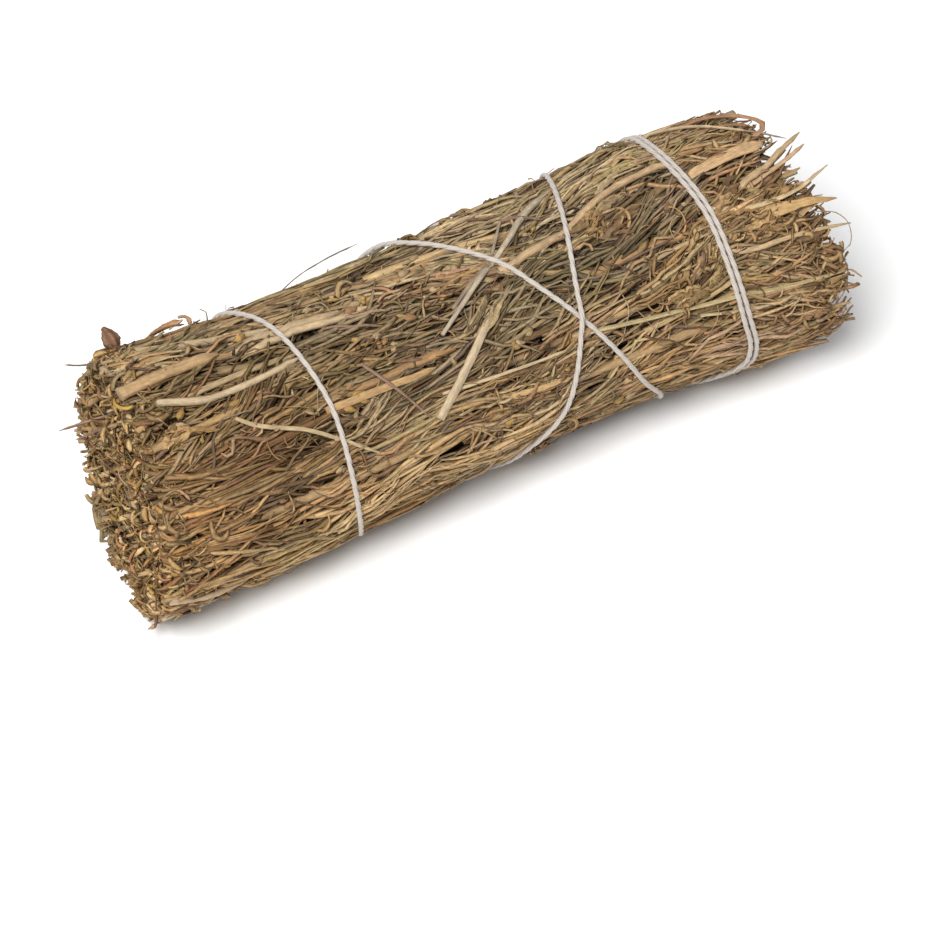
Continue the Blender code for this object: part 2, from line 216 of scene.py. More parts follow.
# Places around the bundle: (turning angle, station, lift over the other turns).
WINDING = (
    (-165, 96.0, 0.7), (-151, 95.4, 0.7), (-140, 94.9, 0.1), (-112, 92.8, 0.0), (-80, 91.2, 0.0),
    (-45, 89.6, 0.0), (-28, 87.9, 0.0), (-5, 83.3, 0.0), (17, 79.4, 0.0), (45, 73.7, 0.0),
    (64, 69.4, 0.0), (81, 66.0, 0.0), (98, 61.6, 0.0), (118, 57.0, 0.2), (138, 53.3, 0.7),
    (160, 50.0, 0.2), (190, 46.8, 0.0), (237, 41.6, 0.0), (280, 37.2, 0.0), (324, 32.2, 0.0),
    (353, 30.3, 0.0), (380, 29.8, 0.0), (405, 30.0, 0.0), (434, 29.1, 0.0), (463, 27.5, 0.0),
    (487, 25.3, 0.0), (503, 24.4, 0.0), (520, 24.6, 0.0), (540, 27.0, 0.0), (587, 38.9, 0.2),
    (597, 41.6, 1.1), (607, 44.3, 0.2), (640, 52.6, 0.0), (672, 58.0, 0.0), (693, 61.6, 0.0),
    (712, 67.1, 0.0), (740, 71.2, 0.0), (756, 73.0, 0.3), (764, 73.8, 1.1), (772, 74.6, 0.3),
    (787, 76.1, 0.0), (805, 78.3, 0.0), (828, 81.1, 0.0), (853, 83.8, 0.0), (900, 88.0, 0.0),
    (932, 91.4, 0.0), (941, 92.9, 0.4), (949, 94.3, 1.1), (957, 95.2, 0.4), (980, 96.1, 0.0),
    (1040, 98.2, 0.0), (1048, 100.0, 0.0), (1054, 101.9, 0.0), (1062, 102.9, 0.0), (1075, 102.6, 0.0),
    (1090, 101.4, 0.0), (1120, 100.3, 0.0), (1146, 100.1, 0.0), (1174, 99.1, 0.0), (1188, 98.9, 0.0),
    (1207, 99.5, 0.0), (1225, 100.1, 0.0), (1290, 100.5, 0.0), (1350, 100.2, 0.0), (1400, 99.8, 0.0),
    (1408, 101.7, 0.0), (1414, 103.4, 0.0), (1422, 104.1, 0.0), (1435, 103.7, 0.0), (1450, 102.5, 0.0),
    (1480, 101.3, 0.0), (1506, 101.1, 0.0), (1534, 100.1, 0.0), (1548, 99.9, 0.0), (1567, 100.5, 0.0),
    (1585, 101.2, 0.1), (1595, 100.9, 0.7), (1603, 100.2, 1.25), (1611, 98.9, 1.1), (1618, 97.7, 0.8),
    (1635, 96.0, 0.7),
)
KNOT_AZIMUTH = -165.0
KNOT_STATION = 96.0
KNOT_LIFT = 1.35
# Places of the two ends in the knot: mm (around, along, out) from its middle.
FIRST_END = (
    (8.8, -3.2, 0.9), (6.8, -2.8, 0.5), (4.6, -1.9, 0.2), (2.5, -0.65, 0.55), (1.1, -0.85, 0.0),
    (0.0, -1.4, -0.55), (-1.05, -2.1, 0.0), (-1.95, -1.5, 0.5), (-2.35, 0.0, 0.55), (-1.95, 1.5, 0.5),
    (-1.05, 2.1, 0.0), (0.0, 1.4, -0.55), (1.1, 0.85, 0.0), (2.5, 0.65, 0.55), (3.8, 0.3, 0.15),
)
LAST_END = (
    (-4.0, 1.0, -0.5), (-2.5, 0.65, -0.55), (-1.1, 0.85, 0.0), (0.0, 1.4, 0.55), (1.05, 2.1, 0.0),
    (1.95, 1.5, -0.5), (2.35, 0.0, -0.55), (1.95, -1.5, -0.5), (1.05, -2.1, 0.0), (0.0, -1.4, 0.55),
    (-1.1, -0.85, 0.0), (-2.5, -0.65, -0.55), (-4.4, -1.7, -0.5), (-6.8, -3.2, -0.5),
    (-8.8, -4.0, -0.6),
)


def string_radius(station, azimuth, lift):
    """Distance from the axis to the string's middle, on the bundle and over the floor."""
    lowest = STRING_RADIUS + FLOOR_CLEARANCE
    on_bundle = base_radius(station, azimuth) - STRING_SINK + CHORD_SAG
    return np.minimum(on_bundle, floor_radius(azimuth, lowest + lift)) + lift


def even_route(points):
    """Points one step apart along a smooth curve through these."""
    steps = int(round(distance_along(points)[-1] / ROUTE_STEP))
    return even_points(points, max(2, steps + 1))


def knot_points(places):
    """World points in mm of one of the two ends in the knot."""
    around, along, out = np.array(places).T
    radius = float(string_radius(KNOT_STATION, KNOT_AZIMUTH, 0.0))
    azimuth = KNOT_AZIMUTH + np.degrees(around / radius)
    return place(KNOT_STATION + along, azimuth, radius + KNOT_LIFT + out)


def string_route():
    """World points in mm along the whole string, about one step apart."""
    turning, stations, lifts = zip(*WINDING)
    count = int(math.radians(turning[-2] - turning[1]) * PACKED_RADIUS / ROUTE_STEP)
    angles = np.linspace(turning[1], turning[-2], count)
    at = smooth_through(turning, stations, angles)
    lift = smooth_through(turning, lifts, angles)
    turns = place(at, angles, string_radius(at, angles, lift))
    first = even_route(np.vstack((knot_points(FIRST_END), turns[:1])))
    last = even_route(np.vstack((turns[-1:], knot_points(LAST_END))))
    return even_route(np.vstack((first[:-1], turns, last[1:])))


ROUTE = string_route()


# How far out a strand may reach: a box just past the CAD model's, and a grid over the bundle.

BOX_SPARE = (3.4, 1.1, 1.05)
LOWEST = np.array(CAD_BOX[0]) / MM - BOX_SPARE
HIGHEST = np.array(CAD_BOX[1]) / MM + BOX_SPARE
GRID_STATION = np.arange(-8.0, 128.5, 0.5)
GRID_AZIMUTH = np.arange(-180.0, 180.0, 1.5)
GRID_MARGIN = 0.001
PROUD = 0.35
LEAF_FLOOR = 0.05
# The bed that the string presses into the leaves: its depth, and where its sides begin and end.
BED_DEPTH = 0.40
BED_NEAR = 0.35
BED_WIDE = 2.4


def reach_grids():
    """The reach, and the share of any further rise that the string leaves free."""
    station, azimuth = np.meshgrid(GRID_STATION, GRID_AZIMUTH, indexing="ij")
    reach = base_radius(station, azimuth) + PROUD
    free = np.ones(reach.shape)
    tree = kdtree.KDTree(len(ROUTE))
    for index, point in enumerate(ROUTE):
        tree.insert(Vector(point), index)
    tree.balance()
    string_at = polar(ROUTE)[2]
    surface = under(station, azimuth, 0.0)
    for row in np.ndindex(station.shape):
        _, index, distance = tree.find(Vector(surface[row]))
        if distance < BED_WIDE:
            rise = smooth_step(max(0.0, (distance - BED_NEAR) / (BED_WIDE - BED_NEAR)))
            bed = min(string_at[index] - BED_DEPTH, reach[row])
            reach[row] = bed + (reach[row] - bed) * rise
            free[row] = rise * rise
    return reach, free


REACH, FREE = reach_grids()


def read_grid(grid, station, azimuth):
    """Read a grid between its points."""
    row = (station - GRID_STATION[0]) / (GRID_STATION[1] - GRID_STATION[0])
    row = np.clip(row, 0.0, len(GRID_STATION) - 1 - GRID_MARGIN)
    column = (azimuth - GRID_AZIMUTH[0]) / (GRID_AZIMUTH[1] - GRID_AZIMUTH[0])
    low_row, low_column = np.floor(row).astype(int), np.floor(column).astype(int)
    part_row, part_column = row - low_row, column - low_column
    low_column = low_column % len(GRID_AZIMUTH)
    next_column = (low_column + 1) % len(GRID_AZIMUTH)

    def read_row(index):
        return grid[index, low_column] * (1 - part_column) + grid[index, next_column] * part_column

    return read_row(low_row) * (1 - part_row) + read_row(low_row + 1) * part_row


def pressed(rings, rise=0.0):
    """Rings moved in to where the string, the other leaves and the floor leave room."""
    station, azimuth, radius = polar(rings)
    reach = read_grid(REACH, station, azimuth) + rise * read_grid(FREE, station, azimuth)
    reach = np.minimum(reach, floor_radius(azimuth, LEAF_FLOOR))
    over = np.max(np.maximum(radius - reach, 0.0), axis=-1, keepdims=True)
    return np.clip(place(station, azimuth, radius - over), LOWEST, HIGHEST)


# Strands and their meshes.

# Outlines of a strand's ring: (across, up) in half widths and half heights.
DIAMOND = ((1.0, 0.0), (0.0, 1.0), (-1.0, 0.0), (0.0, -1.0))
GUTTER = ((1.0, 0.5), (0.45, 0.1), (-0.45, 0.1), (-1.0, 0.5), (-0.5, -0.6), (0.5, -0.6))
PLEATS = (
    (1.0, 0.6), (0.6, -0.2), (0.2, 0.9), (-0.2, -0.2), (-0.6, 0.9),
    (-1.0, 0.1), (-0.7, -0.8), (0.0, -0.6), (0.5, -0.9), (0.8, -0.3),
)
# A strand's finish is the place of its material in the piece.
LEAF, BARK, INSIDE = 0, 1, 2
PARTS = ("points", "tones", "corners", "smooth", "finishes", "atlas", "grain")
# Each strand has its own cell in the piece's map, and its own stretch of the grain.
ATLAS_ASPECT = 8.0
ATLAS_FILL = 0.86
GRAIN_SHIFT = 3.17


def evenly_round(count):
    """Angles of the corners of a regular outline, in radians."""
    return np.arange(count) * FULL_TURN / count


def round_outline(sides):
    """Corners of a round strand's ring."""
    turns = evenly_round(sides)
    return np.stack((np.cos(turns), np.sin(turns)), axis=1)


def sweep(paths, ups, widths, heights, outline, rolls=0.0):
    """Rings around paths (strand, ring, xyz); widths lie across the path and ups stand on it."""
    tangents = unit(np.gradient(paths, axis=1))
    ups = unit(ups - np.sum(ups * tangents, axis=-1, keepdims=True) * tangents)
    sides = np.cross(tangents, ups)
    widths, heights, rolls = (np.broadcast_to(np.asarray(values, float), paths.shape[:2])[..., None]
                              for values in (widths, heights, rolls))
    across = sides * np.cos(rolls) + ups * np.sin(rolls)
    above = ups * np.cos(rolls) - sides * np.sin(rolls)
    outline = np.asarray(outline)
    rings = paths[:, :, None, :] + across[:, :, None, :] * (outline[:, 0, None] * widths[..., None])
    return rings + above[:, :, None, :] * (outline[:, 1, None] * heights[..., None])


def sweep_straight(paths, axes, widths, outline, flatness):
    """Rings square to a straight axis, for stems whose first rings turn back on themselves."""
    side = unit(np.cross(axes, (0.0, 0.0, 1.0)))
    above = np.cross(side, axes)
    spokes = side[:, None, :] * outline[None, :, :1]
    spokes = spokes + above[:, None, :] * outline[None, :, 1:] * flatness
    return paths[:, :, None, :] + spokes[:, None, :, :] * widths[:, :, None, None]


class Strands:
    """Swept tubes, kept in batches of one shape until their mesh is made."""

    def __init__(self):
        self.batches = []

    def add(self, rings, tones, owners, finish=0, flat_rows=()):
        """rings: (strand, ring, side, xyz); tones: the same with rgb; owners: one index each."""
        if tones.ndim == 3:
            tones = np.repeat(tones[:, :, None, :], rings.shape[2], axis=2)
        self.batches.append((rings, tones, np.asarray(owners), finish, flat_rows))

    def mesh(self, name, owner, materials):
        """One mesh of the strands that belong to an owner."""
        strands = sum(int(np.sum(owners == owner)) for _, _, owners, _, _ in self.batches)
        columns = max(1, int(math.ceil(math.sqrt(strands * ATLAS_ASPECT))))
        rows = max(1, int(math.ceil(strands / columns)))
        parts = {key: [] for key in PARTS}
        point_count, drawn = 0, 0
        for rings, tones, owners, finish, flat_rows in self.batches:
            chosen = rings[owners == owner]
            if not len(chosen):
                continue
            count, ring_count, side_count, _ = chosen.shape
            quads, flat, spots = tube_faces(ring_count, side_count, flat_rows)
            first_points = point_count + np.arange(count) * ring_count * side_count
            parts["points"].append(chosen.reshape(-1, 3) * MM)
            parts["tones"].append(tones[owners == owner].reshape(-1, 3))
            parts["corners"].append((quads[None] + first_points[:, None, None]).reshape(-1, 4))
            parts["smooth"].append(np.tile(~flat, count))
            parts["finishes"].append(np.full(count * len(quads), finish))
            cell = drawn + np.arange(count)
            corner = np.stack((cell % columns, cell // columns), axis=1)[:, None, None]
            parts["atlas"].append(((corner + ATLAS_FILL * spots) / (columns, rows)).reshape(-1, 2))
            shift = cell[:, None, None, None] * GRAIN_SHIFT
            parts["grain"].append((spots * strand_size(chosen)[:, None, None] + shift).reshape(-1, 2))
            point_count += count * ring_count * side_count
            drawn += count
        whole = {key: np.concatenate(part) for key, part in parts.items()}
        return write_mesh(name, whole, materials)


def strand_size(rings):
    """Girth and length of each strand in mm."""
    centres = rings.mean(axis=2)
    along = np.linalg.norm(np.diff(centres, axis=1), axis=2).sum(axis=1)
    middle = rings[:, rings.shape[1] // 2]
    girth = np.linalg.norm(middle - np.roll(middle, 1, axis=1), axis=2).sum(axis=1)
    return np.stack((girth, along), axis=1)


def tube_faces(ring_count, side_count, flat_rows):
    """Corner indices, flatness and map spots of the faces of one closed tube."""
    quads, flat, spots = [], [], []
    for ring in range(ring_count - 1):
        low, high = ring * side_count, (ring + 1) * side_count
        start, end = ring / (ring_count - 1), (ring + 1) / (ring_count - 1)
        for side in range(side_count):
            after = (side + 1) % side_count
            left, right = side / side_count, (side + 1) / side_count
            quads.append((low + side, low + after, high + after, high + side))
            flat.append(ring in flat_rows)
            spots.append(((left, start), (right, start), (right, end), (left, end)))
    last = (ring_count - 1) * side_count
    for second in range(1, side_count - 2, 2):
        cap = (0, second, second + 1, second + 2)
        quads.append(tuple(reversed(cap)))
        spots.append(tuple((corner / side_count, 0.0) for corner in reversed(cap)))
        quads.append(tuple(last + corner for corner in cap))
        spots.append(tuple((corner / side_count, 1.0) for corner in cap))
        flat += [True, True]
    return np.array(quads), np.array(flat), np.array(spots)


def write_mesh(name, parts, materials):
    """Make the mesh, with its tones as a colour attribute and its two maps."""
    mesh = bpy.data.meshes.new(name)
    mesh.vertices.add(len(parts["points"]))
    mesh.vertices.foreach_set("co", parts["points"].astype(np.float32).ravel())
    corners = parts["corners"].astype(np.int32).ravel()
    mesh.loops.add(len(corners))
    mesh.loops.foreach_set("vertex_index", corners)
    mesh.polygons.add(len(parts["corners"]))
    mesh.polygons.foreach_set("loop_start", np.arange(0, len(corners), 4, dtype=np.int32))
    mesh.polygons.foreach_set("use_smooth", parts["smooth"])
    mesh.polygons.foreach_set("material_index", parts["finishes"].astype(np.int32))
    solid = np.ones((len(parts["tones"]), 4), np.float32)
    solid[:, :3] = parts["tones"]
    mesh.attributes.new("tone", "FLOAT_COLOR", "POINT").data.foreach_set("color", solid.ravel())
    for layer, part in (("OFBake", "atlas"), ("grain", "grain")):
        spots = parts[part].astype(np.float32).ravel()
        mesh.uv_layers.new(name=layer).data.foreach_set("uv", spots)
    for material in materials:
        mesh.materials.append(material)
    mesh.update(calc_edges=True)
    mesh.validate()
    return mesh


# The sprigs' centre lines, read from the CAD solids, and which sprig a strand belongs to.

CENTRE_STEP = 4.0
CENTRE_STATIONS = np.arange(0.0, LENGTH + 1.0, CENTRE_STEP)
CENTRE_MARGIN = 6.0
OUTER_FROM = 13.5


def crossing(node, station):
    """Points (y, z) in mm where a CAD node's edges cross a plane across the bundle."""
    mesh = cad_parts[node].data
    points = np.empty(len(mesh.vertices) * 3, np.float32)
    mesh.vertices.foreach_get("co", points)
    points = points.reshape(-1, 3) / MM
    edges = np.empty(len(mesh.edges) * 2, np.int32)
    mesh.edges.foreach_get("vertices", edges)
    ends = points[edges.reshape(-1, 2)]
    before = ends[:, 0, 0] - (station - LENGTH / 2.0)
    after = ends[:, 1, 0] - (station - LENGTH / 2.0)
    cut = (before < 0.0) != (after < 0.0)
    share = (before[cut] / (before[cut] - after[cut]))[:, None]
    return (ends[cut, 0] * (1.0 - share) + ends[cut, 1] * share)[:, 1:]


def middle(points):
    """Middle of the box around points."""
    return (points.min(axis=0) + points.max(axis=0)) / 2.0


def reach_along(node):
    """First and last station of a CAD node."""
    low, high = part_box(node)
    return low[0] / MM + LENGTH / 2.0, high[0] / MM + LENGTH / 2.0


def centreline(node):
    """Centre (y, z) of a CAD node at each centre station."""
    first, last = reach_along(node)
    stations = np.clip(CENTRE_STATIONS, first + CENTRE_MARGIN, last - CENTRE_MARGIN)
    return np.array([middle(crossing(node, station)) for station in stations])


def from_axis(node):
    """Centres of a CAD node, as (y, z) from the bundle's axis."""
    return CENTRES[node] - (AXIS_SETBACK, AXIS_HEIGHT)


NODES = sorted(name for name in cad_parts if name.startswith(("sprig", "stem")))
STEMS = [name for name in NODES if name.startswith("stem")]
CENTRES = {name: centreline(name) for name in NODES}
OUTER = [name for name in NODES
         if name not in STEMS and np.hypot(*from_axis(name).mean(axis=0)) > OUTER_FROM]


def azimuth_along(node, station):
    """Azimuth of a CAD node at these stations."""
    centres = from_axis(node)
    turns = np.unwrap(np.arctan2(centres[:, 1], -centres[:, 0]))
    return np.degrees(np.interp(station, CENTRE_STATIONS, turns))


def owner_of(station, azimuth):
    """Index in NODES of the outer sprig that lies under each place."""
    apart = [np.abs(half_turn(azimuth - azimuth_along(name, station))) for name in OUTER]
    return np.array([NODES.index(name) for name in OUTER])[np.argmin(apart, axis=0)]


def nearest_node(azimuth, radius, station):
    """Index in NODES of the solid whose centre is nearest, at one station."""
    points = place(station, azimuth, radius)[:, 1:]
    row = int(round(station / CENTRE_STEP))
    centres = np.array([CENTRES[name][row] for name in NODES])
    return np.argmin(np.linalg.norm(points[:, None, :] - centres[None, :, :], axis=2), axis=1)


# Tones, with how often each comes.

WARM_TONES = (
    ((0.70, 0.59, 0.43), 18), ((0.77, 0.67, 0.51), 6), ((0.61, 0.49, 0.34), 24),
    ((0.57, 0.48, 0.32), 15), ((0.56, 0.43, 0.33), 10), ((0.44, 0.33, 0.22), 13),
    ((0.66, 0.52, 0.34), 9),
)
GREY_TONES = (
    ((0.66, 0.57, 0.44), 12), ((0.53, 0.46, 0.32), 14), ((0.76, 0.68, 0.54), 8),
    ((0.45, 0.37, 0.27), 10), ((0.56, 0.50, 0.35), 8), ((0.54, 0.44, 0.37), 6),
)
STEM_TONES = (
    ((0.76, 0.64, 0.46), 8), ((0.68, 0.56, 0.40), 8), ((0.66, 0.58, 0.45), 3), ((0.58, 0.45, 0.31), 5),
)
TIP_TONES = (
    ((0.70, 0.56, 0.41), 8), ((0.74, 0.62, 0.46), 6), ((0.62, 0.48, 0.34), 6), ((0.60, 0.45, 0.34), 4),
    ((0.50, 0.38, 0.27), 4),
)
END_TONES = (
    ((0.60, 0.48, 0.31), 8), ((0.66, 0.54, 0.36), 7), ((0.48, 0.36, 0.22), 5), ((0.56, 0.40, 0.28), 4),
    ((0.72, 0.60, 0.43), 5), ((0.66, 0.53, 0.27), 1),
)
TWIG_TONES = (((0.40, 0.32, 0.25), 3), ((0.47, 0.41, 0.33), 2), ((0.36, 0.27, 0.19), 2))
LUMP_TONES = (
    ((0.72, 0.60, 0.42), 4), ((0.66, 0.53, 0.36), 4), ((0.58, 0.46, 0.31), 4), ((0.48, 0.37, 0.26), 3),
)
BUD_TONES = (((0.62, 0.49, 0.29), 5), ((0.53, 0.40, 0.28), 4), ((0.67, 0.57, 0.43), 3))
CUT_TONE = (0.82, 0.71, 0.54)
PITH_TONE = (0.50, 0.38, 0.25)
# The inside tone is painted shade, seen in the gaps between the leaves.
INNER_PAINTED_SHADE = (0.27, 0.20, 0.135)
STRING_TONE = (0.728, 0.690, 0.652)
GAMMA = 2.2


def linear(tone):
    """An sRGB tone as linear light."""
    return np.power(np.asarray(tone, float), GAMMA)


def pick_tones(draw, tones, count):
    """Linear tones picked at random, each as often as its weight says."""
    choices = linear([tone for tone, _ in tones])
    weights = np.array([weight for _, weight in tones], float)
    return choices[draw.choice(len(choices), size=count, p=weights / weights.sum())]


# The flow of the leaves: (station, azimuth, heading, reach in mm) of patches that differ.
FLOW_HEADING = 3.0
FLOW_PATCHES = (
    (8, 110, -8, 10), (30, 105, -14, 12), (55, 112, -20, 10), (75, 110, 20, 12), (95, 105, 12, 12),
    (12, 72, 4, 8), (40, 85, -10, 10), (78, 85, 16, 10), (25, 64, 14, 8), (56, 55, 20, 9),
    (86, 62, 12, 9), (95, 45, 24, 8), (10, 45, 10, 10), (28, 45, -5, 8), (110, 45, -12, 9),
    (115, 25, -15, 9), (10, 8, -7, 10), (40, 3, -4, 10), (62, -12, 24, 10), (102, -12, -14, 10),
)
# The even heading's weight, where a patch's is up to 1, and how much of the drift is added to both.
FLOW_REST = 0.35
DRIFT_SHARE = 0.5

# Where leaves are greyer: (station, azimuth, reach in mm).
GREY_PATCHES = (
    (8, 120, 9), (45, 125, 14), (80, 110, 18), (72, 60, 9), (110, 100, 9), (32, 20, 8), (100, -120, 16),
    (40, -160, 18), (61, 57, 5),
)
GREY_EVERYWHERE = 0.2
GREY_IN_PATCHES = 0.75

# Painted light and shade around the bundle, lighter or darker by side: azimuths and factors.
PAINTED_LIGHT_AZIMUTHS = (-180.0, -40.0, -3.0, 12.0, 45.0, 72.0, 90.0, 112.0, 180.0)
PAINTED_LIGHT_FACTORS = (1.0, 1.35, 1.55, 1.12, 0.68, 0.73, 0.90, 1.05, 1.0)

# Patches of painted shade and light, where leaves are darker or lighter than that, partly the leaves'
# own tone: (station, azimuth, reach in mm, factor).
PAINTED_SHADE_PATCHES = (
    (10, 102, 9, 0.74), (30, 113, 9, 0.76), (25, 83, 6, 0.52), (34, 84, 4, 0.75), (14, 40, 9, 0.82),
    (16, 22, 6, 0.60), (16, 72, 6, 0.66), (8, 88, 8, 0.85), (42, 50, 6, 0.80), (42, 72, 6, 0.68),
    (34, 34, 4, 0.70), (60, 76, 7, 0.66), (60, 108, 5, 0.78), (60, 60, 5, 0.85), (82, 73, 6, 0.45),
    (82, 88, 5, 0.80), (90, 35, 5, 0.84), (90, 42, 4, 0.84), (107, 57, 5, 0.68), (108, 46, 5, 0.74),
    (96, 51, 4, 0.84), (108, 6, 5, 0.80), (42, 6, 6, 0.85), (8, 22, 5, 0.85), (99, 72, 4, 0.80),
    (36, 98, 6, 1.25), (84, 110, 9, 1.35), (91, 84, 4, 1.35), (75, 86, 5, 1.40), (114, 82, 7, 2.00),
    (99, 60, 4, 1.35), (68, 34, 4, 1.45), (60, 35, 4, 1.30), (25, 37, 4, 1.30), (34, 14, 6, 1.40),
    (51, 4, 6, 1.35), (76, 16, 7, 1.45), (99, 14, 6, 1.40), (114, 60, 6, 1.40), (16, -2, 5, 1.40),
    (3, 22, 4, 1.20), (112, 44, 7, 1.25), (112, 22, 7, 1.25),
)

# Where leaves are of a warmer brown: (station, azimuth, reach in mm), and that tint.
WARM_PATCHES = ((4, 46, 11), (2, 5, 9), (14, 60, 7), (20, 30, 7))
WARM_TINT = np.array((1.0, 0.88, 0.75))

# Painted shade on a leaf's edges and painted highlight on its crest and underside, random stripes of
# stems, and painted light and shade by how far a strand's corners stand out.
EDGE_PAINTED_SHADE = (0.77, 0.76, 0.75)
CORE_PAINTED_HIGHLIGHT = (1.06, 1.06, 1.05)
STRIPE_NOISE = 0.19
CREST_PAINTED_LIGHT = 0.3
CREST_HEIGHT = 0.25
BRIGHTEST = linear((0.86, 0.76, 0.61))

# Lengths in mm of the waves in which strands sway, and the limits of a ripple's phase.
SWAY_WAVES = (4.5, 11.0)
ANY_PHASE = (0.0, 6.28)


def patch_share(station, azimuth, patch_station, patch_azimuth, reach):
    """How far places belong to a patch, from 1 at its middle to 0."""
    across = np.radians(half_turn(azimuth - patch_azimuth)) * PACKED_RADIUS
    return np.exp(-((station - patch_station) ** 2 + across ** 2) / reach ** 2)


def patch_sum(station, azimuth, patches):
    """How far places belong to all of these patches together."""
    return sum(patch_share(station, azimuth, *patch) for patch in patches)


def softened(tones):
    """Tones that near the brightest one slowly and keep their hue."""
    share = np.max(tones / BRIGHTEST, axis=-1, keepdims=True)
    return tones * (1.0 - np.exp(-share)) / share


def painted_height_light(rings):
    """Painted light and shade: factors that make the corners further out in a ring lighter, and those
    further in darker.
    """
    distance = polar(rings)[2]
    height = distance - distance.mean(axis=2, keepdims=True)
    return np.exp(CREST_PAINTED_LIGHT * np.tanh(height / CREST_HEIGHT))[..., None]


class Kind(SimpleNamespace):
    """Settings of one kind of strand; those that are left out are a thin leaf's.

    Light is the logarithm of a factor on the tones, rise is how far strands may lie over the others,
    rough is noise on their corners, bulge holds the start, span and power for bulge(), and roll the
    noise and the twist for Batch.rolls().
    """

    rings = 9
    outline = DIAMOND
    finish = LEAF
    light = 0.0
    rise = 0.0
    rough = 0.02


# Two smooth fields of waves over the bundle: a drift of the headings in degrees, and a shimmer.
DRIFT = dict(count=9, lengths=(26.0, 70.0), height=6.0)
SHIMMER = dict(count=12, lengths=(12.0, 50.0), height=1.0)
WAVE_TURNS = (1, 7)


def waves(draw, count, lengths, height):
    """A smooth random field over the bundle, as a function of station and azimuth."""
    parts = []
    for _ in range(count):
        turns = draw.integers(*WAVE_TURNS)
        rate = FULL_TURN / draw.uniform(*lengths) * draw.choice((-1.0, 1.0))
        parts.append((turns, rate, draw.uniform(0.0, FULL_TURN)))
    size = height * math.sqrt(2.0 / count)

    def field(station, azimuth):
        return size * sum(np.cos(turns * np.radians(azimuth) + rate * station + phase)
                          for turns, rate, phase in parts)
    return field


class Bundle:
    """What all strands share: the random draw, the flow, the tones and the strands themselves."""

    def __init__(self, seed):
        self.draw = np.random.default_rng(seed)
        self.strands = Strands()
        self.drift = waves(self.draw, **DRIFT)
        self.shimmer = waves(self.draw, **SHIMMER)

    def heading(self, station, azimuth):
        """The direction of the leaves around each place, in degrees from the bundle's axis."""
        drift = self.drift(station, azimuth)
        weight = FLOW_REST
        total = FLOW_REST * (FLOW_HEADING + drift)
        for patch_station, patch_azimuth, heading, reach in FLOW_PATCHES:
            share = patch_share(station, azimuth, patch_station, patch_azimuth, reach)
            weight = weight + share
            total = total + share * heading
        return total / weight + DRIFT_SHARE * drift

    def leaf_tones(self, station, azimuth):
        """A tone for each place, greyer in the grey patches, with painted light and shade."""
        grey = GREY_EVERYWHERE + GREY_IN_PATCHES * patch_sum(station, azimuth, GREY_PATCHES)
        chosen = self.draw.random(len(station)) < grey
        warm = pick_tones(self.draw, WARM_TONES, len(station))
        cool = pick_tones(self.draw, GREY_TONES, len(station))
        return np.where(chosen[:, None], cool, warm) * self.tint(station, azimuth)

    def stem_tones(self, station, azimuth):
        """A stem's tone for each place, with painted light and shade."""
        return pick_tones(self.draw, STEM_TONES, len(station)) * self.tint(station, azimuth)

    def tint(self, station, azimuth):
        """Painted light and shade around each place, and how warm the leaves are there, as factors of
        rgb.
        """
        # Painted shade and light from the patches, then from the side of the bundle that each place
        # faces.
        light = np.exp(sum(math.log(factor) * patch_share(station, azimuth, *patch)
                           for *patch, factor in PAINTED_SHADE_PATCHES))
        light = light * smooth_through(PAINTED_LIGHT_AZIMUTHS, PAINTED_LIGHT_FACTORS, half_turn(azimuth))
        warmth = np.minimum(1.0, patch_sum(station, azimuth, WARM_PATCHES))
        return light[:, None] * WARM_TINT ** warmth[:, None]

    def add(self, kind, paths, widths, heights, tones, owners, rolls=0.0):
        """Sweep strands along paths, press them into place and keep them."""
        rings = sweep(paths, outwards(paths), widths, heights, kind.outline, rolls)
        rings = pressed(rings + self.draw.normal(0.0, kind.rough, rings.shape), kind.rise)
        if tones.ndim == 2:
            tones = np.repeat(tones[:, None, :], paths.shape[1], axis=1)
        # Painted shade on blade edges and inner corners, painted highlight on crests and outer corners.
        tones = self.striped(tones, len(kind.outline)) * painted_height_light(rings)
        self.strands.add(rings, softened(tones), owners, kind.finish)

    def striped(self, tones, side_count):
        """Tones per ring made tones per corner: a blade has painted shade on its edges and a painted
        highlight on its crest and underside, a stem has random stripes.
        """
        if side_count == len(DIAMOND):
            stripes = np.array((EDGE_PAINTED_SHADE, CORE_PAINTED_HIGHLIGHT, EDGE_PAINTED_SHADE, CORE_PAINTED_HIGHLIGHT))[None, None, :, :]
        else:
            stripes = np.exp(self.draw.normal(0.0, STRIPE_NOISE, (len(tones), 1, side_count, 1)))
        return tones[:, :, None, :] * stripes


def bulge(steps, start, span, power):
    """Share of the full width along the steps of a strand that is widest near its middle."""
    return np.sin(np.pi * (start + span * steps)) ** power


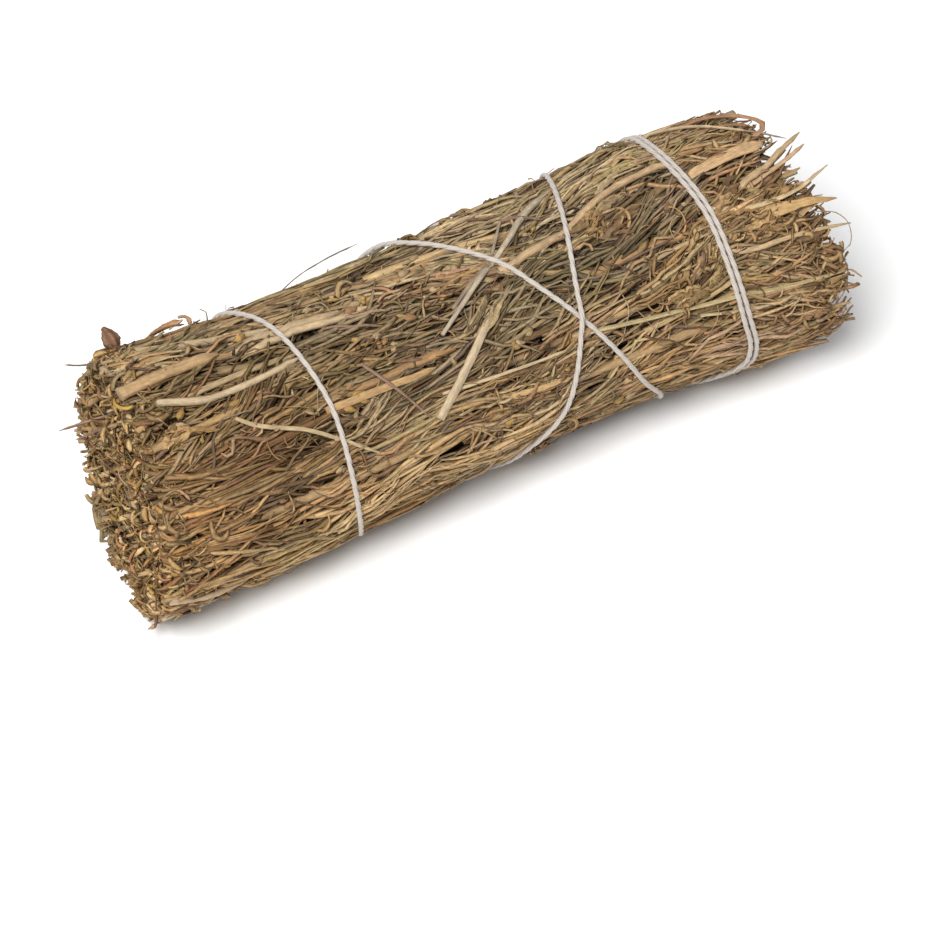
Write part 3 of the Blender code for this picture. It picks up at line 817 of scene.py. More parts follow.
class Batch:
    """Strands of one kind, drawn together, with steps from 0 to 1 along each of them."""

    def __init__(self, bundle, kind, count=None):
        self.bundle = bundle
        self.kind = kind
        self.count = kind.count if count is None else count
        self.shape = (self.count, kind.rings)
        self.steps = np.linspace(0.0, 1.0, kind.rings)[None, :]

    def each(self, limits):
        """A value between the limits for each strand."""
        return self.bundle.draw.uniform(*limits, self.count)

    def column(self, limits):
        """The same, as a column, for use along the steps."""
        return self.each(limits)[:, None]

    def noise(self, size):
        """Noise about 0 for each strand."""
        return self.bundle.draw.normal(0.0, size, self.count)

    def noise_column(self, size):
        """The same, as a column."""
        return self.noise(size)[:, None]

    def noise_along(self, size):
        """Noise for each ring of each strand."""
        return self.bundle.draw.normal(0.0, size, self.shape)

    def fitted(self, station, azimuth, heading, length):
        """Stations moved back so that strands end near the tips' end at most."""
        last = station + length * np.cos(np.radians(heading))
        over = np.maximum(last - tip_limit(azimuth) - self.each(self.kind.ends), 0.0)
        spare = self.kind.spare
        spare = self.each(spare) if np.ndim(spare) else spare
        return np.maximum(station - over, cut_limit(azimuth) + spare)

    def scattered(self):
        """Stations, azimuths, headings along the flow of the leaves, and lengths."""
        station = self.each(self.kind.station)
        azimuth = self.each(ALL_ROUND)
        heading = self.bundle.heading(station, azimuth) + self.noise(self.kind.turn)
        return station, azimuth, heading, self.each(self.kind.length)

    def lay(self, station, azimuth, heading, length, bend=None, sway=None):
        """Stations and azimuths of paths over the bundle; the kind gives the bend and the sway."""
        bend = self.noise(self.kind.bend) if bend is None else bend
        sway = self.noise(self.kind.sway) if sway is None else sway
        length = length[:, None]
        travelled = self.steps * length
        phase = self.column((0.0, FULL_TURN))
        wave = self.column(SWAY_WAVES)
        turn = np.radians(heading)[:, None] + bend[:, None] * (travelled - length / 2.0)
        turn = turn + sway[:, None] * np.sin(FULL_TURN * travelled / wave + phase)
        stride = length / (self.kind.rings - 1)
        along = np.cumsum(np.cos(turn) * stride, axis=1) - np.cos(turn[:, :1]) * stride
        around = np.cumsum(np.sin(turn) * stride, axis=1) - np.sin(turn[:, :1]) * stride
        return station[:, None] + along, azimuth[:, None] + degrees_round(around)

    def ripple(self, rates):
        """Waves along the strands, each with its own rate and phase."""
        return np.sin(self.steps * self.column(rates) + self.column(ANY_PHASE))

    def widths(self):
        """Half widths along strands that bulge as their kind says."""
        return self.column(self.kind.width) * bulge(self.steps, *self.kind.bulge)

    def heights(self):
        """Half heights, even along each strand."""
        return self.column(self.kind.height)

    def varied(self, tones):
        """Tones made a little lighter or darker for each strand."""
        return tones * np.exp(self.noise(self.kind.tone_noise) + self.kind.light)[:, None]

    def picked(self):
        """Varied tones from the kind's own."""
        return self.varied(pick_tones(self.bundle.draw, self.kind.tones, self.count))

    def rolls(self):
        """How far each ring rolls about its path, in radians: one noise and one twist."""
        first, twist = self.kind.roll
        return self.noise_column(first) + self.noise_column(twist) * self.steps

    def any_rolls(self):
        """The same, from any first angle."""
        return self.column((0.0, math.pi)) + self.noise_column(self.kind.twist) * self.steps

    def leans(self, size):
        """Directions near the bundle's axis."""
        return np.stack((np.ones(self.count), self.noise(size), self.noise(size)), axis=1)

    def add(self, paths, widths, heights, tones, owners, rolls=0.0):
        """Add the strands to the bundle."""
        self.bundle.add(self.kind, paths, widths, heights, tones, owners, rolls)


# The long leaves on the outside. A lock's leaves share a heading, a bend, a depth and a tone.
# In every kind, turn is in degrees, bend in radians per mm, ends are limits of how far strands reach
# past the tips' end, and spare is how far they stay from the cut end.

LOCKS = Kind(
    count=980, leaves=(5, 10), station=(-6.0, LENGTH - 4.0), turn=10.0, stray_share=0.10,
    stray_turn=24.0, bend=0.03, depth=(0.1, 2.3), length=(10.0, 22.0),
)
LEAVES = Kind(
    rings=8, fan=6.0, turn=7.0, apart=0.5, along=2.2, length_share=(0.6, 1.15), ends=(-4.5, 0.6),
    spare=(-0.8, 1.6), bend=0.028, sway=0.25, depth=0.25, base_dip=(0.4, 1.5), tip_dip=(-0.7, 1.2),
    ripple=0.12, ripple_rate=(6.0, 16.0), least_depth=-0.25, width=(0.25, 0.48),
    bulge=(0.16, 0.84, 0.55), least_width=0.14, height=(0.15, 0.3), tip_height=0.4, roll=(0.5, 0.6),
    shimmer=0.12, tone_noise=0.12, light=0.40, depth_shade=0.36, tip_shade=0.25, own_tone=0.3,
)


def make_leaves(bundle):
    """Locks of long narrow leaves."""
    locks = Batch(bundle, LOCKS)
    lock_station = locks.each(LOCKS.station)
    lock_azimuth = locks.each(ALL_ROUND)
    lock_heading = bundle.heading(lock_station, lock_azimuth) + locks.noise(LOCKS.turn)
    stray = bundle.draw.random(locks.count) < LOCKS.stray_share
    lock_heading = lock_heading + np.where(stray, locks.noise(LOCKS.stray_turn), 0.0)
    lock_bend = locks.noise(LOCKS.bend)
    lock_depth = locks.column(LOCKS.depth)
    lock_length = locks.each(LOCKS.length)
    lock_tone = bundle.leaf_tones(lock_station, lock_azimuth)
    lock = np.repeat(np.arange(locks.count), bundle.draw.integers(*LOCKS.leaves, locks.count))

    leaves = Batch(bundle, LEAVES, len(lock))
    fan = leaves.noise(1.0)
    heading = lock_heading[lock] + LEAVES.fan * fan + leaves.noise(LEAVES.turn)
    azimuth = lock_azimuth[lock] + degrees_round(fan + leaves.noise(LEAVES.apart))
    length = lock_length[lock] * leaves.each(LEAVES.length_share)
    wanted = lock_station[lock] + leaves.noise(LEAVES.along)
    station = leaves.fitted(wanted, azimuth, heading, length)
    cut = (station > wanted)[:, None]
    bend = lock_bend[lock] + leaves.noise(LEAVES.bend)
    sway = np.abs(leaves.noise(LEAVES.sway))
    stations, azimuths = leaves.lay(station, azimuth, heading, length, bend, sway)

    steps = leaves.steps
    depths = lock_depth[lock] + leaves.noise_column(LEAVES.depth)
    depths = depths + np.where(cut, 0.0, leaves.column(LEAVES.base_dip)) * (1.0 - steps) ** 4
    depths = depths + leaves.column(LEAVES.tip_dip) * steps ** 4
    depths = depths + LEAVES.ripple * leaves.ripple(LEAVES.ripple_rate)
    depths = np.maximum(depths, LEAVES.least_depth)

    taper = np.where(cut & (steps < 0.5), 1.0, bulge(steps, *LEAVES.bulge))
    taper = np.clip(taper, LEAVES.least_width, 1.0)
    width = leaves.column(LEAVES.width) * taper
    height = leaves.column(LEAVES.height) * (LEAVES.tip_height + (1.0 - LEAVES.tip_height) * taper)
    rolls = leaves.rolls()
    light = LEAVES.shimmer * bundle.shimmer(station, azimuth) + leaves.noise(LEAVES.tone_noise)
    # Painted shade: a leaf is darker the deeper it lies under the outside; each leaf is also darker
    # towards its tip.
    light = np.exp((light + LEAVES.light)[:, None] - LEAVES.depth_shade * depths)
    light = light * (1.0 - LEAVES.tip_shade * steps ** 4)
    own_tone = bundle.leaf_tones(station, azimuth)
    tone = (1.0 - LEAVES.own_tone) * lock_tone[lock] + LEAVES.own_tone * own_tone
    tones = tone[:, None, :] * light[:, :, None]
    paths = under(stations, azimuths, depths)
    leaves.add(paths, width, height, tones, owner_of(station, azimuth), rolls)


CRUMBS = Kind(
    count=2100, rings=4, station=(-1.0, LENGTH - 3.0), turn=38.0, length=(2.0, 7.0), ends=(-4.0, 0.0),
    spare=0.4, bend=0.12, sway=0.2, depth=(1.0, 3.0), tip_dip=0.6, least_depth=0.2,
    width=(0.25, 0.7), end_width=0.45, height=(0.1, 0.25), tone_noise=0.3, light=-0.8, roll=0.8,
)


def make_crumbs(bundle):
    """Short broken leaves in every direction that fill the gaps between the long ones."""
    crumbs = Batch(bundle, CRUMBS)
    station, azimuth, heading, length = crumbs.scattered()
    station = crumbs.fitted(station, azimuth, heading, length)
    stations, azimuths = crumbs.lay(station, azimuth, heading, length)
    depth = crumbs.column(CRUMBS.depth) + crumbs.noise_column(CRUMBS.tip_dip) * crumbs.steps
    paths = under(stations, azimuths, np.maximum(depth, CRUMBS.least_depth))
    swell = CRUMBS.end_width + (1.0 - CRUMBS.end_width) * np.sin(np.pi * crumbs.steps)
    width = crumbs.column(CRUMBS.width) * swell
    height = crumbs.heights()
    # Much darker than the long leaves (light in CRUMBS), as painted shade in the gaps that they fill.
    tones = crumbs.varied(bundle.leaf_tones(station, azimuth))
    rolls = crumbs.noise_column(CRUMBS.roll)
    crumbs.add(paths, width, height, tones, owner_of(station, azimuth), rolls)


# Curled leaves, and where they gather: (station, azimuth, spread in mm, how many).

THIN_CURL_SPOTS = (
    (108, 58, 5, 24), (112, 44, 5, 26), (104, 38, 4, 16), (117, 96, 4, 20), (98, 62, 4, 12),
    (92, 45, 4, 16), (97, 52, 3, 12), (88, 34, 4, 12), (84, 78, 4, 14), (118, 20, 4, 20),
    (112, 10, 5, 18), (50, 88, 5, 12), (44, 78, 5, 12), (22, 55, 5, 10), (8, 100, 4, 14),
    (60, 10, 4, 12), (56, 24, 4, 12), (30, -8, 5, 10), (2, 40, 3, 12), (1, 10, 3, 12),
)
BROAD_CURL_SPOTS = (
    (106, 57, 4, 20), (110, 49, 3, 14), (101, 60, 3, 9), (112, 62, 3, 7), (89, 36, 3, 12),
    (95, 48, 3, 14), (92, 43, 3, 10), (84, 74, 3, 7), (117, 24, 4, 16), (115, 6, 4, 16),
    (118, 40, 3, 12), (110, 30, 4, 12), (1, 30, 3, 10), (0, 5, 3, 12), (0, -25, 3, 10), (2, 75, 3, 8),
    (4, 120, 3, 12), (13, 100, 3, 6), (100, 20, 4, 10), (64, 18, 4, 7), (58, 22, 3, 6),
    (106, 112, 4, 10), (113, 100, 4, 10), (103, 52, 3, 10), (86, 42, 3, 8),
)
WAVY_SPOTS = (
    (110, 8, 6, 22), (104, 22, 5, 12), (116, 20, 4, 14), (115, -10, 5, 14), (98, 8, 6, 10),
    (84, 82, 6, 12), (48, 84, 7, 12), (12, 50, 7, 12), (20, 66, 6, 8), (30, 30, 7, 10), (62, 20, 6, 10),
    (104, 100, 5, 8),
)
# What the three kinds of curl share.
CURL = dict(
    rings=11, station=(2.0, LENGTH - 2.0), gather=0.6, cut_room=0.5, tip_room=3.0, within=0.85,
    ends=(-2.0, 3.0), most_turn=2.9, depth=(-0.1, 1.6), lift=0.7, lift_rate=(3.0, 7.0),
    bulge=(0.17, 0.7, 0.5), width_noise=0.14, height=(0.07, 0.14), tone_noise=0.22, light=0.06,
    mottle=0.12, roll=(0.8, 1.8), rise=0.45,
)
THIN_CURLS = Kind(
    spots=THIN_CURL_SPOTS, strays=120, bends=(0.12, 0.6), length=(2.5, 7.0), width=(0.13, 0.3),
    tones=WARM_TONES, turn=40.0, sway=0.25, **CURL,
)
BROAD_CURLS = Kind(
    spots=BROAD_CURL_SPOTS, strays=50, bends=(0.3, 1.0), length=(3.0, 6.5), width=(0.28, 0.6),
    tones=LUMP_TONES, turn=40.0, sway=0.25, **CURL,
)
WAVY_LEAVES = Kind(
    spots=WAVY_SPOTS, strays=60, bends=(0.0, 0.14), length=(6.0, 12.0), width=(0.25, 0.48),
    tones=TIP_TONES, turn=20.0, sway=0.45, **CURL,
)


def curl_places(draw, kind):
    """Stations and azimuths gathered around the spots, with strays all over."""
    stations = [draw.uniform(*kind.station, kind.strays)]
    azimuths = [draw.uniform(*ALL_ROUND, kind.strays)]
    for station, azimuth, spread, number in kind.spots:
        stations.append(station + draw.normal(0.0, spread * kind.gather, number))
        azimuths.append(azimuth + degrees_round(draw.normal(0.0, spread * kind.gather, number)))
    station, azimuth = np.concatenate(stations), np.concatenate(azimuths)
    first = cut_limit(azimuth) + kind.cut_room
    return np.clip(station, first, tip_limit(azimuth) - kind.tip_room), azimuth


def make_curl_kind(bundle, kind):
    """Curled leaves of one kind, none of which bends by more than its most turn."""
    station, azimuth = curl_places(bundle.draw, kind)
    curls = Batch(bundle, kind, len(station))
    heading = bundle.heading(station, azimuth) + curls.noise(kind.turn)
    bend = curls.each(kind.bends) * bundle.draw.choice((-1.0, 1.0), curls.count)
    length = curls.each(kind.length)
    most = kind.most_turn / length
    station = np.minimum(station, tip_limit(azimuth) - kind.within * length + curls.each(kind.ends))
    stations, azimuths = curls.lay(station, azimuth, heading, length, np.clip(bend, -most, most))
    depth = curls.column(kind.depth) + kind.lift * curls.ripple(kind.lift_rate)
    width = curls.widths() * (1.0 + curls.noise_along(kind.width_noise))
    height = curls.heights()
    tones = curls.picked()[:, None, :] * np.exp(curls.noise_along(kind.mottle))[:, :, None]
    paths = under(stations, azimuths, depth)
    curls.add(paths, width, height, tones, owner_of(station, azimuth), curls.rolls())


def make_curls(bundle):
    """Curled leaves, most of them in knots towards the tips, and longer wavy ones."""
    for kind in (THIN_CURLS, BROAD_CURLS, WAVY_LEAVES):
        make_curl_kind(bundle, kind)


# Crumpled leaves: (station, azimuth, heading, length).

LUMPS = (
    (90, 42, 40, 7), (94, 50, 30, 8), (97, 40, 50, 6), (89, 34, 10, 7), (99, 58, 30, 7),
    (106, 60, 15, 7), (110, 56, -10, 6), (108, 48, 20, 6), (113, 40, 0, 6), (84, 74, 10, 7),
    (80, 82, 20, 6), (104, 70, 10, 6), (112, 90, 10, 6), (62, 92, 10, 4), (4, 60, 20, 4),
    (117, 62, 0, 5), (116, 12, -10, 6), (118, 30, -6, 5),
)
LUMP = Kind(
    rings=7, outline=GUTTER, tones=LUMP_TONES, strays=20, blades=12, station=(6.0, 112.0),
    azimuth=(130.0, 330.0), stray_turn=25.0, length=(4.0, 7.0), apart=0.7, length_share=(0.45, 1.05),
    turn=17.0, bend=0.1, sway=0.3, depth=(-0.4, 0.9), crown=0.4, tip_dip=(0.0, 1.4), base_dip=0.9,
    crumple=0.11, width=(0.25, 0.62), bulge=(0.12, 0.83, 0.7), width_noise=0.2, height=(0.14, 0.28),
    tone_noise=0.16, light=0.15, mottle=0.2, base_shade=0.8, roll=0.5, twist=0.28, rise=0.5, rough=0.06,
)


def make_lumps(bundle):
    """Crumpled leaf clusters: blades that fan from one point and curl over."""
    draw = bundle.draw
    strays = Batch(bundle, LUMP, LUMP.strays)
    stray_rows = np.stack((strays.each(LUMP.station), strays.each(LUMP.azimuth),
                           strays.noise(LUMP.stray_turn), strays.each(LUMP.length)), axis=1)
    rows = np.repeat(np.vstack((LUMPS, stray_rows)), LUMP.blades, axis=0)
    blades = Batch(bundle, LUMP, len(rows))
    station, azimuth, heading, length = rows.T
    station = station + blades.noise(LUMP.apart)
    azimuth = azimuth + degrees_round(blades.noise(LUMP.apart))
    length = length * blades.each(LUMP.length_share)
    station = np.minimum(station, tip_limit(azimuth) - length)
    heading = heading + blades.noise(LUMP.turn)
    stations, azimuths = blades.lay(station, azimuth, heading, length)
    steps = blades.steps
    depth = blades.column(LUMP.depth) - LUMP.crown * np.sin(np.pi * steps)
    depth = depth + blades.column(LUMP.tip_dip) * steps ** 3 + LUMP.base_dip * (1.0 - steps) ** 3
    paths = under(stations, azimuths, depth)
    paths = paths + draw.normal(0.0, LUMP.crumple, paths.shape)
    width = blades.widths()
    width = width * (1.0 + blades.noise_along(LUMP.width_noise))
    height = blades.heights()
    tone = pick_tones(draw, LUMP.tones, blades.count // LUMP.blades)
    tone = blades.varied(np.repeat(tone, LUMP.blades, axis=0))
    # Painted shade where the blades tuck in at their base, with random mottling.
    mottle = np.exp(blades.noise_along(LUMP.mottle) - LUMP.base_shade * (1.0 - steps) ** 2)
    tones = tone[:, None, :] * mottle[:, :, None]
    rolls = blades.noise_column(LUMP.roll) + blades.noise_along(LUMP.twist).cumsum(axis=1)
    blades.add(paths, width, height, tones, owner_of(station, azimuth), rolls)


# Broad crumpled leaves: places as (station, azimuth, depth), half width and tone.

BROAD_LEAVES = (
    (((84.9, 42, 0.3), (90.1, 46, -0.3), (95.5, 51, -0.3), (100, 55.5, 0.2)), 0.8, (0.72, 0.62, 0.45)),
    (((92.7, 38.5, 0.5), (95, 44, -0.3), (97.5, 50.5, -0.1)), 0.8, (0.68, 0.55, 0.41)),
    (((88.5, 34, 0.4), (91, 37, -0.4), (94.5, 36, 0.0)), 1.0, (0.68, 0.56, 0.38)),
    (((90, 31, 0.5), (93, 33.5, -0.4), (96, 32, 0.1)), 0.8, (0.62, 0.50, 0.34)),
    (((96.3, 35, 0.3), (98, 38, -0.3), (100, 41, 0.1)), 0.95, (0.62, 0.52, 0.35)),
    (((83, 84, 0.4), (86.5, 88, -0.3), (90, 89, 0.1)), 0.9, (0.62, 0.52, 0.38)),
    (((85, 78, 0.4), (88, 80, -0.2), (92, 80, 0.4)), 0.8, (0.52, 0.42, 0.29)),
    (((86, 96, 0.4), (89, 99, -0.3), (92, 103, 0.2)), 0.7, (0.70, 0.61, 0.46)),
    (((103, 60, 0.5), (106, 61, -0.4), (109, 58, 0.0)), 0.9, (0.60, 0.47, 0.31)),
    (((105, 52, 0.4), (108.5, 53, -0.3), (112, 50, 0.2)), 0.85, (0.68, 0.55, 0.38)),
    (((101, 66, 0.5), (104.5, 68, -0.2), (108, 70, 0.3)), 0.8, (0.66, 0.53, 0.37)),
    (((56, 52, 0.3), (59, 57, -0.3), (63, 66, 0.1)), 0.95, (0.66, 0.57, 0.42)),
    (((55, 57, 0.4), (58, 62, -0.1), (61, 70, 0.3)), 0.6, (0.58, 0.50, 0.36)),
    (((110, -2, 0.4), (113.5, 1, -0.3), (117, 0, 0.1)), 0.95, (0.68, 0.53, 0.38)),
    (((112, 10, 0.4), (115.5, 12, -0.3), (119, 9, 0.1)), 0.85, (0.70, 0.56, 0.41)),
    (((40, 12, 0.5), (45, 10, -0.1), (51, 11, 0.4)), 0.8, (0.64, 0.52, 0.36)),
    (((4, 66, 0.5), (8, 62, -0.2), (12, 58, 0.3)), 0.7, (0.60, 0.47, 0.31)),
)
BROAD = Kind(
    rings=13, outline=PLEATS, tones=LUMP_TONES, strays=20, station=(8.0, 110.0),
    azimuth=(125.0, 330.0), stride=(2.0, 4.0), skew=4.0, depths=(0.4, -0.2, 0.4), width=(0.6, 0.95),
    crumple=0.09, bulge=(0.1, 0.82, 0.6), width_noise=0.14, height=(0.2, 0.34), roll=0.3, twist=0.16,
    mottle=0.12, tone_noise=0.08, rise=0.6, rough=0.07,
)


def stray_broad_leaf(draw):
    """Places, half width and tone of a broad leaf on the back or the underside."""
    station, azimuth = draw.uniform(*BROAD.station), draw.uniform(*BROAD.azimuth)
    along, around = draw.uniform(*BROAD.stride), draw.normal(0.0, BROAD.skew)
    places = [(station + step * along, azimuth + step * around, depth)
              for step, depth in enumerate(BROAD.depths)]
    return places, draw.uniform(*BROAD.width), pick_tones(draw, BROAD.tones, 1)[0]


def make_broad_leaves(bundle):
    """Broad leaves with lengthwise pleats, crumpled and curled at the ends."""
    draw = bundle.draw
    rows = [(places, half_width, linear(tone)) for places, half_width, tone in BROAD_LEAVES]
    rows += [stray_broad_leaf(draw) for _ in range(BROAD.strays)]
    leaf = Batch(bundle, BROAD, 1)
    for places, half_width, tone in rows:
        station, azimuth, depth = np.array(places, float).T
        azimuth = half_turn(azimuth)
        path = even_points(under(station, azimuth, depth), BROAD.rings)[None]
        path = path + draw.normal(0.0, BROAD.crumple, path.shape)
        width = half_width * bulge(leaf.steps, *BROAD.bulge)
        width = width * (1.0 + leaf.noise_along(BROAD.width_noise))
        height = leaf.heights()
        rolls = leaf.noise_column(BROAD.roll) + leaf.noise_along(BROAD.twist).cumsum(axis=1)
        light = np.exp(leaf.noise_along(BROAD.mottle) + leaf.noise_column(BROAD.tone_noise))
        owner = owner_of(station[:1], azimuth[:1])
        leaf.add(path, width, height, tone * light[:, :, None], owner, rolls)


# Sheaves of leaves at chosen places: (station, azimuth, heading, length, leaves, fan, light).

SHEAVES = (
    (57, 53, 47, 8, 9, 5, 1.1), (59, 56, 38, 8, 6, 9, 1.1), (68, 75, 28, 8, 9, 12, 1.1),
    (66, 71, 22, 8, 7, 10, 0.95), (17, 61, 42, 8, 6, 7, 1.15), (20, 60, 44, 8, 8, 5, 0.62),
    (14, 58, 34, 9, 6, 8, 1.1), (58, 20, 20, 10, 8, 12, 0.7), (62, 16, -14, 8, 5, 14, 1.0),
    (84, 104, 6, 14, 10, 6, 1.2), (86, 110, 2, 14, 10, 5, 1.15), (80, 112, 10, 14, 9, 6, 1.1),
    (6, 44, 6, 13, 9, 5, 1.1), (6, 30, 0, 15, 9, 6, 1.05), (4, 12, -6, 14, 9, 6, 1.0),
    (22, 25, 12, 12, 8, 8, 1.15), (84, 64, 22, 12, 8, 8, 1.0), (92, 36, 40, 9, 8, 9, 1.0),
    (36, 40, 4, 14, 8, 5, 1.05), (46, 40, 14, 12, 8, 6, 1.1), (100, 14, 4, 14, 8, 6, 0.95),
    (33, 139, 1, 14, 12, 4, 1.0), (38, 142, 0, 12, 12, 4, 1.1), (28, 138, 2, 12, 8, 4, 0.95),
)
QUARTER_TURN = 90.0
SHEAF = Kind(
    spread=0.85, along=0.5, length_share=(0.7, 1.15), turn=2.0, bend=0.02, sway=0.06,
    depth=(-0.3, 0.3), base_dip=(0.5, 1.4), tip_dip=0.5, width=(0.22, 0.4), bulge=(0.2, 0.78, 0.6),
    height=(0.1, 0.2), tone_noise=0.13, roll=(0.4, 0.4), rise=0.35,
)


def make_sheaves(bundle):
    """Leaves that lie close together on top of the rest."""
    counts = [count for *_, count, _, _ in SHEAVES]
    rows = np.repeat(np.array(SHEAVES, float), counts, axis=0)
    leaves = Batch(bundle, SHEAF, len(rows))
    station, azimuth, heading, length, _, fan, light = rows.T
    side = leaves.noise(1.0)
    across = np.radians(heading + QUARTER_TURN)
    apart = side * SHEAF.spread
    station = station + apart * np.cos(across) + leaves.noise(SHEAF.along)
    azimuth = azimuth + degrees_round(apart * np.sin(across))
    length = length * leaves.each(SHEAF.length_share)
    heading = heading + fan * side + leaves.noise(SHEAF.turn)
    stations, azimuths = leaves.lay(station, azimuth, heading, length)
    steps = leaves.steps
    depth = leaves.column(SHEAF.depth) + leaves.column(SHEAF.base_dip) * (1.0 - steps) ** 3
    paths = under(stations, azimuths, depth + SHEAF.tip_dip * steps ** 4)
    width = leaves.widths()
    height = leaves.heights()
    tones = leaves.varied(bundle.leaf_tones(station, azimuth) * light[:, None])
    leaves.add(paths, width, height, tones, owner_of(station, azimuth), leaves.rolls())


# Bare stems, twigs, hairs and buds among the leaves.

STEM = Kind(
    count=210, rings=12, outline=round_outline(8), finish=BARK, station=(-4.0, LENGTH - 20.0),
    turn=7.0, length=(12.0, 44.0), ends=(-6.0, 1.5), spare=(-1.0, 1.0), bend=0.007, sway=0.03,
    radius=(0.3, 0.8), base_dip=(0.0, 2.5), tip_dip=(0.0, 2.0), depth=(0.1, 1.9), knuckle=0.16,
    knuckle_rate=(9.0, 26.0), knuckle_power=8, narrowing=0.3, tone_noise=0.14, flatness=(0.6, 1.0),
    rough=0.025,
)
TWIG = Kind(
    count=110, rings=10, outline=round_outline(6), finish=BARK, tones=TWIG_TONES,
    station=(2.0, LENGTH - 14.0), turn=32.0, length=(4.0, 14.0), ends=(-4.0, 2.0), spare=0.0,
    bend=0.02, sway=0.22, depth=(-0.2, 0.7), tilt=0.8, kink=0.07, radius=(0.13, 0.28), narrowing=0.4,
    tone_noise=0.15, rise=0.3,
)
HAIR = Kind(
    count=170, rings=12, tones=GREY_TONES, station=(2.0, LENGTH - 6.0), length=(4.0, 16.0), turn=40.0,
    ends=(-3.0, 3.0), spare=0.0, bend=0.09, sway=0.2, depth=(-0.6, 0.3), hump=0.7, hump_rate=6.0,
    radius=(0.05, 0.1), tone_noise=0.2, rise=0.7,
)


def make_stems(bundle):
    """Bare stems among the leaves on the outside."""
    stems = Batch(bundle, STEM)
    wanted, azimuth, heading, length = stems.scattered()
    station = stems.fitted(wanted, azimuth, heading, length)
    stations, azimuths = stems.lay(station, azimuth, heading, length)
    steps = stems.steps
    radius = stems.column(STEM.radius)
    base_dip = stems.column(STEM.base_dip) * (1.0 - steps) ** 4
    dip = np.where((station > wanted)[:, None], 0.0, base_dip) + stems.column(STEM.tip_dip) * steps ** 4
    depth = np.maximum(stems.column(STEM.depth), radius) + dip
    beats = np.sin(steps * stems.column(STEM.knuckle_rate))
    knuckle = 1.0 + STEM.knuckle * beats ** STEM.knuckle_power
    widths = radius * (1.0 - STEM.narrowing * steps) * knuckle
    tones = stems.varied(bundle.stem_tones(station, azimuth))
    heights = widths * stems.column(STEM.flatness)
    stems.add(under(stations, azimuths, depth), widths, heights, tones, owner_of(station, azimuth))


def make_twigs(bundle):
    """Thin dark twigs with kinks, across the leaves."""
    twigs = Batch(bundle, TWIG)
    station = twigs.each(TWIG.station)
    azimuth = twigs.each(ALL_ROUND)
    heading = twigs.noise(TWIG.turn)
    length = twigs.each(TWIG.length)
    station = twigs.fitted(station, azimuth, heading, length)
    stations, azimuths = twigs.lay(station, azimuth, heading, length)
    depth = twigs.column(TWIG.depth) + twigs.noise_column(TWIG.tilt) * (twigs.steps - 0.5)
    paths = under(stations, azimuths, depth)
    paths = paths + bundle.draw.normal(0.0, TWIG.kink, paths.shape)
    widths = twigs.column(TWIG.radius) * (1.0 - TWIG.narrowing * twigs.steps)
    twigs.add(paths, widths, widths, twigs.picked(), owner_of(station, azimuth))


def make_hairs(bundle):
    """Loose hair-thin fibres on the outside."""
    hairs = Batch(bundle, HAIR)
    station = hairs.each(HAIR.station)
    azimuth = hairs.each(ALL_ROUND)
    length = hairs.each(HAIR.length)
    heading = hairs.noise(HAIR.turn)
    station = hairs.fitted(station, azimuth, heading, length)
    stations, azimuths = hairs.lay(station, azimuth, heading, length)
    depth = hairs.column(HAIR.depth) + HAIR.hump * np.cos(hairs.steps * HAIR.hump_rate) ** 2
    radius = hairs.column(HAIR.radius)
    paths = under(stations, azimuths, depth)
    hairs.add(paths, radius, radius, hairs.picked(), owner_of(station, azimuth))


# Where buds gather: (station, azimuth, how many).
BUD_SPOTS = (
    (40, 92, 5), (43, 88, 6), (38, 72, 5), (42, 66, 7), (47, 76, 4), (59, 82, 3), (72, 91, 2),
    (53, 80, 5), (50, 98, 5), (57, 92, 4), (34, 98, 4), (22, 70, 2), (29, 20, 4), (14, 64, 2),
    (34, 48, 4), (63, 44, 3), (84, 90, 4), (95, 74, 3), (101, 54, 4), (68, 20, 3), (80, 4, 4),
)
BUD = Kind(
    rings=7, outline=round_outline(8), tones=BUD_TONES, strays=34, station=(4.0, 112.0), stray_buds=2,
    along=1.2, around=1.0, length=(1.0, 2.4), turn=28.0, bend=0.2, sway=0.1, fatness=(0.17, 0.32),
    depth=(0.3, 1.5), bulge=(0.05, 0.9, 0.8), base_power=0.7, width_noise=0.12, flatness=0.85,
    tone_noise=0.16, rise=0.4, rough=0.07,
)


def make_buds(bundle):
    """Small dry buds and seed heads, in twos and threes."""
    draw = bundle.draw
    strays = tuple((draw.uniform(*BUD.station), draw.uniform(*ALL_ROUND), BUD.stray_buds)
                   for _ in range(BUD.strays))
    stations, azimuths = [], []
    for station, azimuth, number in BUD_SPOTS + strays:
        stations.append(station + draw.normal(0.0, BUD.along, number))
        azimuths.append(azimuth + degrees_round(draw.normal(0.0, BUD.around, number)))
    station, azimuth = np.concatenate(stations), np.concatenate(azimuths)
    buds = Batch(bundle, BUD, len(station))
    length = buds.each(BUD.length)
    heading = bundle.heading(station, azimuth) + buds.noise(BUD.turn)
    stations, azimuths = buds.lay(station, azimuth, heading, length)
    radius = length[:, None] * buds.column(BUD.fatness)
    depth = buds.column(BUD.depth) * radius
    shape = bulge(buds.steps ** BUD.base_power, *BUD.bulge)
    noise = draw.normal(0.0, BUD.width_noise, shape.shape)
    widths = radius * shape * (1.0 + noise)
    paths = under(stations, azimuths, depth)
    buds.add(paths, widths, widths * BUD.flatness, buds.picked(), owner_of(station, azimuth))


# The two ends: strands packed over the bundle's whole section. Pitch is their distance in mm, edge
# is how far they stay inside the bundle's outside, and back is how far they start behind the end.

